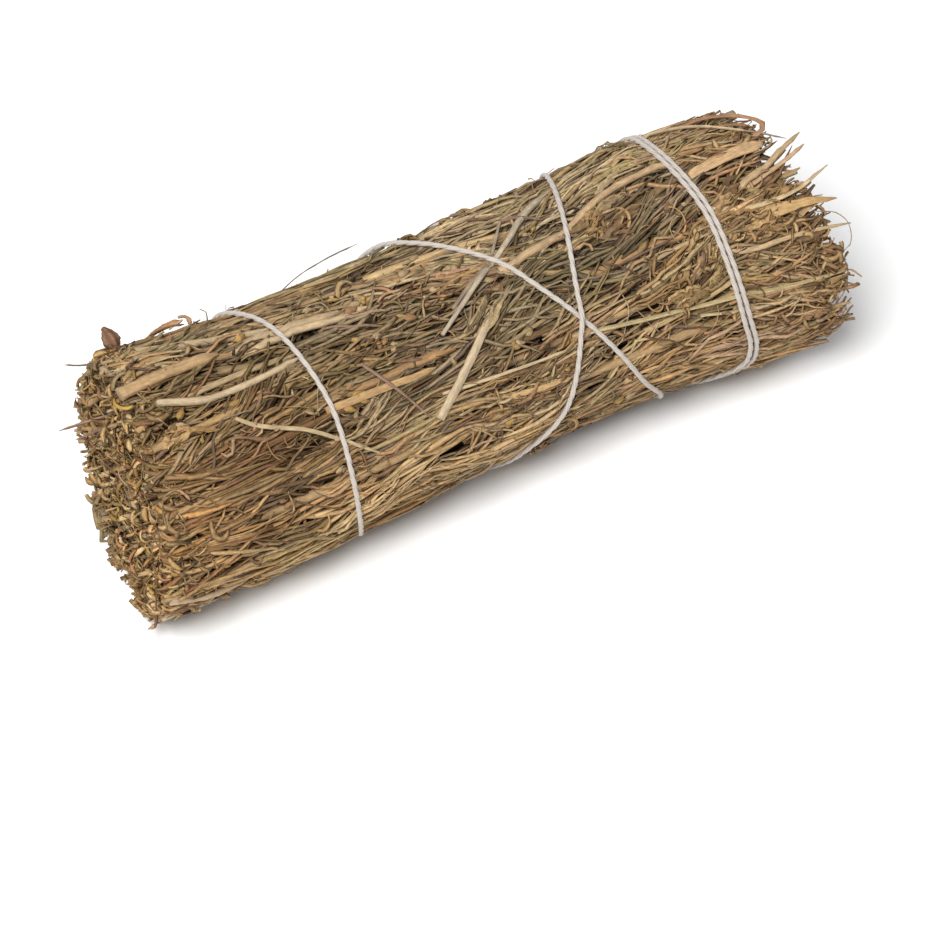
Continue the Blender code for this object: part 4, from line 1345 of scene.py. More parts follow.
ROW_HEIGHT = math.sqrt(0.75)
PACKING_NOISE = 0.22
PACKING_REACH = 1.3
END_FLOOR = 0.3
CUT_STEM = Kind(
    pitch=2.5, edge=1.5, outline=round_outline(6), radius=0.38, radius_noise=0.4, radii=(0.18, 0.75),
    back=1.5, back_noise=1.3, backs=(-0.9, 4.5), body_steps=(0.02, 0.3, 1.0), length=(6.0, 11.0),
    lean=0.16, splay=0.04, tone_noise=0.3, light=-0.15, fresh=(0.25, 0.65), rim_tone=0.9,
    last_tone=0.7, flatness=(0.35, 1.0), ragged=0.3, inner_ragged=0.6, rough=0.05,
)
# The rings of a stem's cut face, from the sunken pith to the rim, in shares of its radius.
FACE_WIDTHS = (0.3, 0.7, 1.0)
FACE_SINKS = (0.35, 0.05, 0.0)
END_CRUMB = Kind(
    pitch=1.1, edge=0.5, rings=6, tones=END_TONES, back=0.4, back_noise=0.9, lean=0.5,
    length=(3.0, 7.0), bow=2.6, bow_along=0.7, width=(0.14, 0.4), bulge=(0.08, 0.55, 0.6),
    height=(0.1, 0.2), first_height=0.5, tone_noise=0.35, light=0.15, inner_shade=0.75,
    shade_power=0.8, twist=1.6,
)
END_CURL = Kind(
    pitch=1.85, edge=0.8, tones=END_TONES, back=0.9, back_noise=0.6, bend=(0.4, 2.4), reach=(0.9, 2.8),
    first_reach=0.7, width=(0.2, 0.62), bulge=(0.1, 0.8, 0.7), height=(0.06, 0.12), tone_noise=0.3,
    light=0.55, twist=1.0,
)
RIM_LEAF = Kind(
    count=190, back=0.2, back_noise=0.6, length=(5.0, 11.0), length_power=1.5, skew=7.0,
    over=(0.5, 2.8), depth=(0.0, 0.9), tip_dip=(0.0, 1.6), width=(0.25, 0.65), bulge=(0.25, 0.7, 0.6),
    height=(0.09, 0.18), tone_noise=0.2, light=0.3, roll=(0.5, 0.6), rise=0.3,
)
TIP = Kind(
    pitch=1.9, edge=1.2, leaves=3, rings=7, tones=TIP_TONES, owner_station=112.0, rounding=2.5,
    back=-1.6, back_noise=1.5, furthest=2.0, length=(7.0, 15.0), lean=0.2, bow=1.5, width=(0.3, 0.75),
    full_width=1.1, least_width=0.2, height=(0.1, 0.2), tone_noise=0.28, light=0.55, first_tone=0.45,
    tone_power=0.6, twist=0.5,
)


def end_places(draw, kind):
    """Scattered places over the bundle's section: azimuths and distances from the axis."""
    reach = int(math.ceil(PACKING_REACH * PACKED_RADIUS / kind.pitch))
    rows = np.arange(-reach, reach + 1)
    across, up = np.meshgrid(rows * kind.pitch, rows * kind.pitch * ROW_HEIGHT)
    across = across + (rows[:, None] % 2) * kind.pitch / 2.0
    across = across + draw.normal(0.0, kind.pitch * PACKING_NOISE, across.shape)
    up = up + draw.normal(0.0, kind.pitch * PACKING_NOISE, up.shape)
    azimuth = np.degrees(np.arctan2(up, across)).ravel()
    radius = np.hypot(across, up).ravel()
    outside = np.minimum(base_radius(0.0, azimuth), floor_radius(azimuth, END_FLOOR))
    inside = radius < outside - kind.edge
    return azimuth[inside], radius[inside]


def cut_station(azimuth, radius):
    """Station of the cut end at these places of the section."""
    return cut_limit(azimuth, radius / PACKED_RADIUS)


def straight_paths(base, leans, travelled):
    """Paths from base points along straight directions."""
    return base[:, None, :] + leans[:, None, :] * travelled[:, :, None]


def make_cut_end(bundle):
    """Stems cut off at the end, packed over the whole section."""
    draw = bundle.draw
    azimuth, radius = end_places(draw, CUT_STEM)
    stems = Batch(bundle, CUT_STEM, len(azimuth))
    thick = draw.lognormal(math.log(CUT_STEM.radius), CUT_STEM.radius_noise, stems.count)
    thick = np.clip(thick, *CUT_STEM.radii)[:, None]
    back = np.clip(draw.normal(CUT_STEM.back, CUT_STEM.back_noise, stems.count), *CUT_STEM.backs)
    start = cut_station(azimuth, radius) + back
    length = stems.column(CUT_STEM.length)
    base = place(start, azimuth, radius)
    splay = outwards(base) * (radius / PACKED_RADIUS)[:, None] * CUT_STEM.splay
    leans = unit(stems.leans(CUT_STEM.lean) - splay)
    # The cut face's rings come first, and then those of the stem itself.
    face_rings, body_rings = len(FACE_WIDTHS), len(CUT_STEM.body_steps)
    steps = np.array((0.0,) * face_rings + CUT_STEM.body_steps)
    sinks = np.array(FACE_SINKS + (0.0,) * body_rings)
    widths = np.array(FACE_WIDTHS + (1.0,) * body_rings) * thick
    paths = straight_paths(base, leans, steps * length + sinks * thick)
    tone = stems.varied(bundle.stem_tones(start, azimuth))
    tones = np.repeat(tone[:, None, :], paths.shape[1], axis=1)
    fresh = stems.column(CUT_STEM.fresh)
    tones[:, 0] = linear(PITH_TONE) * fresh
    tones[:, 1] = linear(CUT_TONE) * fresh
    tones[:, 2] = linear(CUT_TONE) * fresh * CUT_STEM.rim_tone
    # Painted shade: each cut stem's ring furthest inside the bundle is darker.
    tones[:, -1] = tones[:, -1] * CUT_STEM.last_tone
    flatness = stems.column(CUT_STEM.flatness)[:, None]
    rings = sweep_straight(paths, leans, widths, CUT_STEM.outline, flatness)
    ragged = draw.normal(0.0, CUT_STEM.ragged, rings.shape[0:3:2]) * thick
    rings[:, 2, :, 0] += ragged
    rings[:, 1, :, 0] += CUT_STEM.inner_ragged * ragged
    rings += draw.normal(0.0, CUT_STEM.rough, rings.shape)
    owners = nearest_node(azimuth, radius, 0.0)
    bundle.strands.add(pressed(rings), tones, owners, BARK, (0, 1))


def make_end_crumbs(bundle):
    """Broken and curled leaves between the cut stems."""
    draw = bundle.draw
    azimuth, radius = end_places(draw, END_CRUMB)
    crumbs = Batch(bundle, END_CRUMB, len(azimuth))
    steps = crumbs.steps
    back = draw.normal(END_CRUMB.back, END_CRUMB.back_noise, crumbs.count)
    start = cut_station(azimuth, radius) + back
    leans = unit(crumbs.leans(END_CRUMB.lean))
    base = place(start, azimuth, radius)
    paths = straight_paths(base, leans, steps * crumbs.column(END_CRUMB.length))
    bow = draw.normal(0.0, END_CRUMB.bow, (crumbs.count, 1, 3)) * ((1.0 - steps) ** 2)[..., None]
    bow[..., 0] = END_CRUMB.bow_along * np.abs(bow[..., 0])
    width = crumbs.widths()
    height = crumbs.heights() * (END_CRUMB.first_height + (1.0 - END_CRUMB.first_height) * steps)
    # Painted shade: each crumb is darker the further it reaches into the bundle.
    shade = 1.0 - END_CRUMB.inner_shade * steps ** END_CRUMB.shade_power
    tones = crumbs.picked()[:, None, :] * shade[:, :, None]
    owners = nearest_node(azimuth, radius, 0.0)
    crumbs.add(paths + bow, width, height, tones, owners, crumbs.any_rolls())


def make_end_curls(bundle):
    """Thin leaf pieces that curl at the cut end, in every direction."""
    draw = bundle.draw
    azimuth, radius = end_places(draw, END_CURL)
    curls = Batch(bundle, END_CURL, len(azimuth))
    back = draw.normal(END_CURL.back, END_CURL.back_noise, curls.count)
    start = cut_station(azimuth, radius) + back
    first = unit(draw.normal(0.0, 1.0, (curls.count, 3)))
    second = unit(np.cross(first, draw.normal(0.0, 1.0, (curls.count, 3))))
    turn = curls.column((0.0, FULL_TURN)) + curls.column(END_CURL.bend) * curls.steps
    reach = END_CURL.first_reach + (1.0 - END_CURL.first_reach) * curls.steps
    reach = curls.column(END_CURL.reach) * reach
    away = first[:, None, :] * np.cos(turn)[..., None] + second[:, None, :] * np.sin(turn)[..., None]
    paths = place(start, azimuth, radius)[:, None, :] + away * reach[..., None]
    width = curls.widths()
    height = curls.heights()
    tones = curls.picked()
    owners = nearest_node(azimuth, radius, 0.0)
    curls.add(paths, width, height, tones, owners, curls.any_rolls())


def make_rim(bundle):
    """Leaf ends that bend over the rim of the cut end."""
    draw = bundle.draw
    leaves = Batch(bundle, RIM_LEAF)
    steps = leaves.steps
    azimuth = leaves.each(ALL_ROUND)
    start = cut_limit(azimuth) + draw.normal(RIM_LEAF.back, RIM_LEAF.back_noise, leaves.count)
    stations = start[:, None] + leaves.column(RIM_LEAF.length) * steps ** RIM_LEAF.length_power
    azimuths = azimuth[:, None] + leaves.noise_column(RIM_LEAF.skew) * (1.0 - steps) ** 2
    over = leaves.column(RIM_LEAF.over) * (1.0 - steps) ** 4
    depth = leaves.column(RIM_LEAF.depth) + leaves.column(RIM_LEAF.tip_dip) * steps ** 4
    width = leaves.widths()
    height = leaves.heights()
    tones = leaves.varied(bundle.leaf_tones(start, azimuth))
    paths = under(stations, azimuths, depth + over)
    leaves.add(paths, width, height, tones, owner_of(start, azimuth), leaves.rolls())


def make_tips(bundle):
    """Leaf tips over the whole section at the far end, each sprig a loose broom."""
    draw = bundle.draw
    azimuth, radius = (np.repeat(values, TIP.leaves) for values in end_places(draw, TIP))
    leaves = Batch(bundle, TIP, len(azimuth))
    steps = leaves.steps
    share = radius / PACKED_RADIUS
    last = LENGTH + (tip_limit(azimuth) - LENGTH) * share - TIP.rounding * share ** 3
    last = last + draw.normal(TIP.back, TIP.back_noise, leaves.count)
    last = np.minimum(last, LENGTH + TIP.furthest)
    length = leaves.each(TIP.length)
    base = place(last - length, azimuth, radius)
    paths = straight_paths(base, unit(leaves.leans(TIP.lean)), steps * length[:, None])
    bow = draw.normal(0.0, TIP.bow, (leaves.count, 1, 3)) * (steps ** 2)[..., None]
    bow[..., 0] = -np.abs(bow[..., 0])
    width = leaves.column(TIP.width) * np.clip(TIP.full_width - steps ** 3, TIP.least_width, 1.0)
    height = leaves.heights()
    # Painted shade: each tip is darker towards its end inside the bundle.
    shade = TIP.first_tone + (1.0 - TIP.first_tone) * steps ** TIP.tone_power
    tones = leaves.picked()[:, None, :] * shade[:, :, None]
    owners = nearest_node(azimuth, radius, TIP.owner_station)
    leaves.add(paths + bow, width, height, tones, owners, leaves.any_rolls())


# Straw strips that stick out at the tips: (station, azimuth, heading, length, half width).
STRIPS = (
    (106, 70, 16, 13, 0.7), (108, 46, 10, 12, 0.8), (110, 32, -4, 10, 0.8), (111, 24, -8, 10, 0.8),
    (110, 14, 3, 11, 0.7), (108, 2, -5, 13, 0.8), (109, -14, 4, 12, 0.7), (105, 104, -4, 11, 0.9),
    (100, 112, 0, 11, 0.7), (108, 100, 0, 9, 0.7), (110, 66, 8, 9, 0.6),
)
STRIP = Kind(
    outline=GUTTER, finish=BARK, tones=STEM_TONES, strays=46, station=(100.0, 110.0),
    azimuth=(125.0, 325.0), turn=9.0, length=(9.0, 14.0), half_width=(0.5, 1.1), bend=0.006, sway=0.03,
    depth=(0.2, 0.9), base_dip=2.2, torn=(0.35, 0.9), narrowing=0.85, width_noise=0.05,
    height=(0.2, 0.32), tone_noise=0.12, light=0.2, roll=(0.35, 0.2), rise=0.4, rough=0.05,
)


def make_strips(bundle):
    """Flat torn straw at the tips, all round the bundle."""
    strays = Batch(bundle, STRIP, STRIP.strays)
    stray_rows = np.stack((
        strays.each(STRIP.station), strays.each(STRIP.azimuth), strays.noise(STRIP.turn),
        strays.each(STRIP.length), strays.each(STRIP.half_width),
    ), axis=1)
    rows = np.vstack((STRIPS, stray_rows))
    station, azimuth, heading, length, half_width = rows.T
    strips = Batch(bundle, STRIP, len(rows))
    steps = strips.steps
    stations, azimuths = strips.lay(station, azimuth, heading, length)
    depth = strips.column(STRIP.depth) + STRIP.base_dip * (1.0 - steps) ** 3
    torn = strips.column(STRIP.torn)
    taper = np.where(steps > torn, 1.0 - STRIP.narrowing * (steps - torn) / (1.0 - torn), 1.0)
    width = half_width[:, None] * taper * (1.0 + strips.noise_along(STRIP.width_noise))
    height = strips.heights()
    tones = strips.picked()
    paths = under(stations, azimuths, depth)
    strips.add(paths, width, height, tones, owner_of(station, azimuth), strips.rolls())


# Stems that stand out, each with (station, azimuth, depth) places, half widths at its two ends,
# flatness, tone and how far past the leaves it may rise.
STANDOUTS = {
    "cut_stem": (((0.5, 90, 0.2), (8, 92, 0.0), (18, 95, 0.6)), (1.15, 1.0), 0.8, (0.62, 0.50, 0.35),
        0.6),
    "arched_stem": (((3, 83, 1.2), (7, 77, 0.1), (13, 72, 0.0), (23, 73, 0.0), (30, 77, 0.7)),
        (0.65, 0.55), 0.9, (0.69, 0.60, 0.46), 0.6),
    "paired_stem_a": (((20, 95, 1.8), (26, 96, 0.3), (34, 93, 0.2), (41, 92, 1.4)), (0.75, 0.7), 0.9,
        (0.66, 0.56, 0.42), 0.5),
    "paired_stem_b": (((22, 90, 1.8), (28, 91.5, 0.3), (35, 89, 0.2), (44, 87, 1.4)), (0.75, 0.6), 0.9,
        (0.70, 0.60, 0.45), 0.5),
    "slanting_stem_a": (((51.3, 60, -0.2), (58, 72, -0.6), (64, 83, -0.2), (67, 88, 0.1),
        (73, 100, -0.5), (81, 115, 0.5)), (0.35, 0.7), 0.8, (0.68, 0.61, 0.50), 0.8),
    "slanting_stem_b": (((55, 70, 0.5), (62, 81, -0.2), (67, 88, 0.5), (74, 101, 0.5)), (0.35, 0.5),
        0.9, (0.50, 0.43, 0.35), 0.6),
    "flat_stem": (((46.2, 25, -0.2), (52, 40, -0.4), (58.8, 57, -0.1), (62, 65, 1.2)), (0.8, 0.65), 0.5,
        (0.72, 0.63, 0.49), 0.7),
    "brown_stem": (((65, 79, 0.4), (71, 81, -0.2), (77.8, 85, 0.4), (86.7, 93, -0.2), (96, 96, 0.2),
        (104.7, 98, 1.4)), (0.75, 0.6), 0.9, (0.64, 0.53, 0.39), 0.6),
    "dark_twig": (((37.4, 61, -0.2), (41, 45, -0.5), (45.1, 26, -0.1)), (0.3, 0.2), 1.0,
        (0.42, 0.34, 0.27), 0.7),
    "crossing_leaf": (((14.5, 62, 0.6), (17.4, 54, -0.1), (19, 51.5, -0.3), (24.8, 44, -0.4),
        (29.5, 34.5, -0.3), (35.7, 20, 0.3)), (0.36, 0.3), 0.5, (0.70, 0.61, 0.45), 0.6),
    "pale_leaf": (((48, 35, 0.5), (54, 34, -0.2), (63, 32.5, -0.2), (71, 31, 0.5)), (0.3, 0.28), 0.5,
        (0.76, 0.66, 0.50), 0.5),
    "golden_leaf": (((29, 48, 0.6), (36, 48, -0.1), (43, 47.5, -0.1), (49.5, 47, 0.6)), (0.7, 0.55),
        0.3, (0.68, 0.54, 0.36), 0.5),
    "golden_straw": (((57, 22, 0.6), (64, 19, -0.1), (72, 16, 0.5)), (0.6, 0.5), 0.3,
        (0.70, 0.57, 0.38), 0.5),
    "long_green_stem": (((72, 36, 1.2), (80, 33, 0.0), (98, 26, 0.2), (110, 21, -0.2), (121, 18, 0.1)),
        (0.38, 0.38), 0.8, (0.66, 0.58, 0.41), 0.6),
    "under_stem": (((94, 22, 0.8), (102, 17, 0.0), (112, 14, 0.1)), (0.3, 0.25), 0.7,
        (0.72, 0.62, 0.46), 0.5),
    "lower_stem": (((-2.9, -11, 0.3), (4, -19, 0.0), (12, -28, 1.2)), (0.7, 0.6), 0.8,
        (0.72, 0.62, 0.47), 0.5),
    "rim_stem": (((-3.2, -36, 0.6), (4, -36, 0.3), (13, -37, 1.4)), (0.6, 0.5), 0.8, (0.76, 0.67, 0.53),
        0.4),
    "bent_twig_a": (((70, 104, -0.6), (67.5, 95, -0.6), (65, 87, -0.1)), (0.22, 0.28), 1.0,
        (0.58, 0.51, 0.42), 0.8),
    "bent_twig_b": (((70, 104, -0.6), (73, 100, -0.8), (76, 95, -0.1)), (0.25, 0.2), 1.0,
        (0.47, 0.38, 0.31), 0.8),
    "curled_leaf": (((11.8, 137.5, 0.2), (13.6, 139, -0.5), (15.8, 140, -0.9), (18.0, 139.5, -1.0)),
        (0.4, 0.85), 0.75, (0.66, 0.50, 0.34), 2.4),
    "curled_leaf_under": (((15.6, 137, -0.2), (16.8, 138, -0.7), (18.4, 139, -1.1)), (0.2, 0.35), 0.7,
        (0.80, 0.68, 0.52), 2.4),
    "curled_leaf_hem": (((12.2, 136, -0.2), (14, 137, -0.5), (16.2, 137.5, -0.6), (18.2, 137, -0.3)),
        (0.15, 0.3), 0.7, (0.42, 0.30, 0.20), 2.4),
    "curled_leaf_edge": (((17.9, 139.6, -1.7), (18.9, 139, -1.5), (19.3, 138, -0.8),
        (19.0, 137.5, 0.2)), (0.5, 0.45), 0.5, (0.62, 0.48, 0.34), 2.6),
    "free_fibre": (((34, 136, 0.2), (39, 139, -1.4), (44.5, 140, -2.2), (50.3, 140, -2.4)),
        (0.09, 0.12), 1.0, (0.45, 0.40, 0.33), 3.2),
    "top_twig": (((59, 137, 0.3), (63.5, 139, -0.4), (67, 131, -0.4), (70, 122, 0.0)), (0.1, 0.15), 1.0,
        (0.46, 0.38, 0.30), 1.5),
    "upright_fibre_a": (((22, 138, 0.4), (22.4, 139, -1.0), (21.6, 140, -2.0)), (0.11, 0.06), 1.0,
        (0.36, 0.28, 0.20), 2.5),
    "upright_fibre_b": (((24, 137, 0.4), (24.6, 139, -0.9), (25.6, 140, -1.6)), (0.1, 0.06), 1.0,
        (0.36, 0.28, 0.20), 2.5),
    "upright_fibre_c": (((25.5, 138, 0.4), (25, 139, -0.7), (26.2, 141, -1.3)), (0.1, 0.06), 1.0,
        (0.40, 0.32, 0.24), 2.5),
    "end_twig_a": (((6, 158.5, 9.6), (0, 159.5, 9.2), (-5.8, 160.5, 8.9)), (0.26, 0.2), 1.0,
        (0.54, 0.42, 0.35), 0.3),
    "end_twig_b": (((6, 145, 11.4), (0, 146, 11.6), (-4.6, 147, 11.8)), (0.26, 0.22), 1.0,
        (0.46, 0.35, 0.28), 0.3),
    "end_sliver": (((5, 128, 1.5), (0, 130, 1.0), (-2.9, 133, 0.0)), (0.2, 0.12), 1.0,
        (0.40, 0.34, 0.27), 1.2),
    "end_twig_c": (((5, 102, 1.0), (1, 104, 0.4), (-1.2, 105, -0.5)), (0.2, 0.1), 1.0,
        (0.46, 0.37, 0.28), 1.2),
    "tip_loop": (((106, 121, 0.0), (109.5, 118, -0.9), (113, 112, -1.2), (116, 104, -1.1),
        (117.6, 97, -0.7), (116, 92.5, -0.5), (111.5, 93.5, 0.2)), (0.45, 0.5), 0.4, (0.64, 0.47, 0.34),
        2.0),
    "tip_loop_inner": (((108, 112, 0.2), (112, 108, -0.3), (115.4, 101, -0.2), (116.2, 95, 0.1)),
        (0.4, 0.35), 0.4, (0.58, 0.43, 0.31), 1.0),
    "tip_twig": (((112.5, 103, -0.3), (116, 92.4, -0.6), (119.2, 84, -0.4)), (0.18, 0.13), 1.0,
        (0.50, 0.43, 0.35), 1.0),
    "tip_stem": (((98, 128, 0.2), (103, 124, -0.4), (107.5, 117, -0.6), (112.5, 103, -0.5),
        (115.8, 93, -0.5)), (0.28, 0.22), 1.0, (0.70, 0.61, 0.46), 1.0),
    "broad_straw": (((101.5, 87, 0.9), (106, 87.5, 0.0), (111, 88, -0.3), (115.6, 88, 0.0)), (0.9, 1.4),
        0.3, (0.74, 0.60, 0.43), 0.6),
    "pointed_straw_a": (((106, 69, 0.8), (109.5, 73, 0.0), (113.3, 75, -0.5), (116.8, 79, -0.7),
        (121.7, 84, -0.5)), (0.7, 0.4), 0.4, (0.72, 0.60, 0.44), 1.2),
    "pointed_straw_b": (((109, 70, 0.6), (112.8, 72, -0.1), (116.6, 74, -0.5), (121.2, 78, -0.3)),
        (0.45, 0.35), 0.5, (0.66, 0.54, 0.40), 1.2),
    "thin_straw": (((100.5, 68, 0.6), (107.7, 60.5, -0.1), (114.7, 59.5, -0.5), (122.8, 64.7, -0.4)),
        (0.6, 0.22), 0.4, (0.76, 0.65, 0.48), 1.2),
    "blunt_straw": (((107, 58, 0.6), (112, 55, -0.3), (117, 53.5, -0.2), (122.2, 50, 0.5)), (1.5, 0.3),
        0.25, (0.70, 0.56, 0.37), 1.0),
    "side_straw": (((109, 62, 1.4), (114, 61.5, 0.4), (119.3, 61, 0.5)), (1.1, 0.6), 0.25,
        (0.72, 0.58, 0.43), 0.8),
    "long_straw": (((101, 46, 0.8), (105.5, 43, -0.2), (110, 42.5, -0.4), (114.9, 41.4, -0.4),
        (122.8, 38, 0.0)), (0.5, 0.25), 0.5, (0.74, 0.62, 0.45), 1.0),
    "shadowed_straw": (((110, 70, 1.2), (114, 71, 0.6), (118, 73, 1.2)), (0.7, 0.25), 0.3,
        (0.52, 0.38, 0.28), 0.8),
    "far_fibre": (((118, 48, 0.3), (121, 44, -0.3), (122.3, 37, -0.3), (121.5, 29, -0.1),
        (119, 25, 0.6)), (0.08, 0.06), 1.0, (0.55, 0.42, 0.33), 1.2),
    "hanging_fibre": (((118, 33, 0.2), (120.4, 20, -0.3), (119.4, 9, -0.4), (117, 0, -0.3)),
        (0.1, 0.07), 1.0, (0.52, 0.38, 0.29), 1.0),
}
STANDOUT = Kind(
    rings=17, outline=round_outline(10), width_noise=0.04, narrowing=0.1, least_width=0.25,
    tint=np.array((1.20, 1.23, 1.34)), tone_noise=0.05, thick_rough=0.02, fine_rough=0.01,
    fine_share=0.1,
)


def standout_rough(ends):
    """Roughness that grows with a stem and stays fine on one with a thin end."""
    thick = STANDOUT.thick_rough * (1.0 + max(ends))
    return min(thick, STANDOUT.fine_rough + STANDOUT.fine_share * min(ends))


def make_standouts(bundle):
    """The stems that stand out from the rest, each along its own places."""
    for places, ends, flatness, tone, rise in STANDOUTS.values():
        kind = Kind(rings=STANDOUT.rings, outline=STANDOUT.outline, finish=BARK, rise=rise,
                    rough=standout_rough(ends))
        stem = Batch(bundle, kind, 1)
        station, azimuth, depth = np.array(places, float).T
        path = even_points(under(station, azimuth, depth), kind.rings)[None]
        widths = ends[0] + (ends[1] - ends[0]) * stem.steps
        widths = widths * (1.0 + stem.noise_along(STANDOUT.width_noise))
        widths = widths * np.clip((1.0 - stem.steps) / STANDOUT.narrowing, STANDOUT.least_width, 1.0)
        light = np.exp(stem.noise_along(STANDOUT.tone_noise))[..., None]
        tones = STANDOUT.tint * linear(tone) * light
        stem.add(path, widths, widths * flatness, tones, owner_of(station[:1], azimuth[:1]))


# The teardrop bud that stands on the rim: its place, its length, and half widths along it.
TEARDROP = Kind(
    station=6.7, azimuth=138.0, sink=0.8, length=4.4, lean_along=-0.8, lean_around=1.5,
    widths=(0.5, 0.75, 1.2, 1.4, 1.3, 1.0, 0.6, 0.2), rings=22, sides=24, ribs=6, rib_height=0.12,
    rib_light=0.35, tone=(0.46, 0.34, 0.26), tone_noise=0.12, rough=0.06,
)


def make_teardrop(bundle):
    """A ribbed bud, swept straight out from the bundle."""
    steps = np.linspace(0.0, 1.0, TEARDROP.rings)
    radius = base_radius(TEARDROP.station, TEARDROP.azimuth) - TEARDROP.sink + TEARDROP.length * steps
    station = TEARDROP.station + TEARDROP.lean_along * steps
    path = place(station, TEARDROP.azimuth + TEARDROP.lean_around * steps, radius)
    crests = np.cos(TEARDROP.ribs * evenly_round(TEARDROP.sides))
    axis = unit((path[-1] - path[0])[None])
    side = unit(np.cross(axis, (1.0, 0.0, 0.0)))
    outline = round_outline(TEARDROP.sides)
    spokes = outline[:, :1] * side + outline[:, 1:] * np.cross(side, axis)
    widths = smooth_through(np.linspace(0.0, 1.0, len(TEARDROP.widths)), TEARDROP.widths, steps)
    widths = widths[:, None] * (1.0 + TEARDROP.rib_height * crests)
    rings = path[:, None, :] + spokes[None] * widths[:, :, None]
    rings = rings + bundle.draw.normal(0.0, TEARDROP.rough, rings.shape)
    noise = bundle.draw.normal(0.0, TEARDROP.tone_noise, widths.shape)
    # Painted light and shade: lighter on the ribs' crests and darker in the grooves between them, with
    # random noise.
    tones = linear(TEARDROP.tone) * np.exp(TEARDROP.rib_light * crests + noise)[..., None]
    owner = owner_of(np.array([TEARDROP.station]), np.array([TEARDROP.azimuth]))
    bundle.strands.add(rings[None], tones[None], owner, BARK)


SEAM_STEM = Kind(
    rings=30, outline=round_outline(10), finish=BARK, tones=STEM_TONES, first=3.0, last=1.0, depth=1.75,
    sway=0.5, sway_rate=0.13, radius=(0.7, 0.95), swell=0.05, swell_rate=0.9, shade=0.85, flatness=0.9,
)


def make_seam_stems(bundle):
    """One thick bare stem along each of the CAD model's stems."""
    stem = Batch(bundle, SEAM_STEM, 1)
    for name in STEMS:
        first, last = reach_along(name)
        last = min(last, LENGTH) - SEAM_STEM.last
        station = np.linspace(first + SEAM_STEM.first, last, SEAM_STEM.rings)
        azimuth = azimuth_along(name, station)
        sway = np.sin(station * SEAM_STEM.sway_rate + stem.column(ANY_PHASE))
        paths = under(station, azimuth, SEAM_STEM.depth + SEAM_STEM.sway * sway)
        swell = 1.0 + SEAM_STEM.swell * np.sin(station * SEAM_STEM.swell_rate)
        widths = stem.column(SEAM_STEM.radius) * swell
        tone = pick_tones(bundle.draw, SEAM_STEM.tones, 1) * SEAM_STEM.shade
        stem.add(paths, widths, widths * SEAM_STEM.flatness, tone, [NODES.index(name)])


# The bulk inside each sprig and stem, a little inside its CAD solid, dark as painted shade that shows
# between the leaves.
BODY = Kind(
    rings=17, sides=14, depth=2.5, first=5.5, last=10.5, floor=1.5, share=0.86, flutes=5.0,
    flute_height=0.12, flute_twist=0.21,
)


def body_ring(node, station, turn):
    """One ring of the bulk, from where the CAD solid's edges cross a plane."""
    cut = crossing(node, station)
    centre = middle(cut)
    away = cut - centre
    turns = np.arctan2(away[:, 1], away[:, 0])
    order = np.argsort(turns)
    wanted = evenly_round(BODY.sides)
    reach = np.interp(wanted, turns[order], np.hypot(*away[order].T), period=FULL_TURN)
    flutes = np.sin(BODY.flutes * wanted + station * BODY.flute_twist + turn)
    reach = reach * (BODY.share + BODY.flute_height * flutes)
    y = centre[0] + reach * np.cos(wanted)
    z = centre[1] + reach * np.sin(wanted)
    at, azimuth, radius = polar(np.stack((np.full(BODY.sides, station - LENGTH / 2.0), y, z), axis=1))
    radius = np.minimum(radius, base_radius(at, azimuth) - BODY.depth)
    return place(at, azimuth, np.minimum(radius, floor_radius(azimuth, BODY.floor)))


def make_bodies(bundle):
    """The bulk of every sprig and stem, in a dark tone that is painted shade."""
    tones = np.broadcast_to(linear(INNER_PAINTED_SHADE), (1, BODY.rings, 3))
    for index, name in enumerate(NODES):
        first, last = reach_along(name)
        stations = np.linspace(first + BODY.first, last - BODY.last, BODY.rings)
        rings = np.array([body_ring(name, station, index) for station in stations])
        bundle.strands.add(rings[None], tones, [index], INSIDE)


# The string: three twisted plies and loose fuzz.

PLY = Kind(
    count=3, outline=round_outline(6), offset=0.17, radius=0.285, pitch=7.0, swell=0.05, swell_rate=1.7,
)
FUZZ = Kind(
    count=450, rings=4, start=0.38, lean=1.5, length=(0.3, 1.1), curl=0.35, radius=0.02, narrowing=0.5,
    lowest=0.1,
)


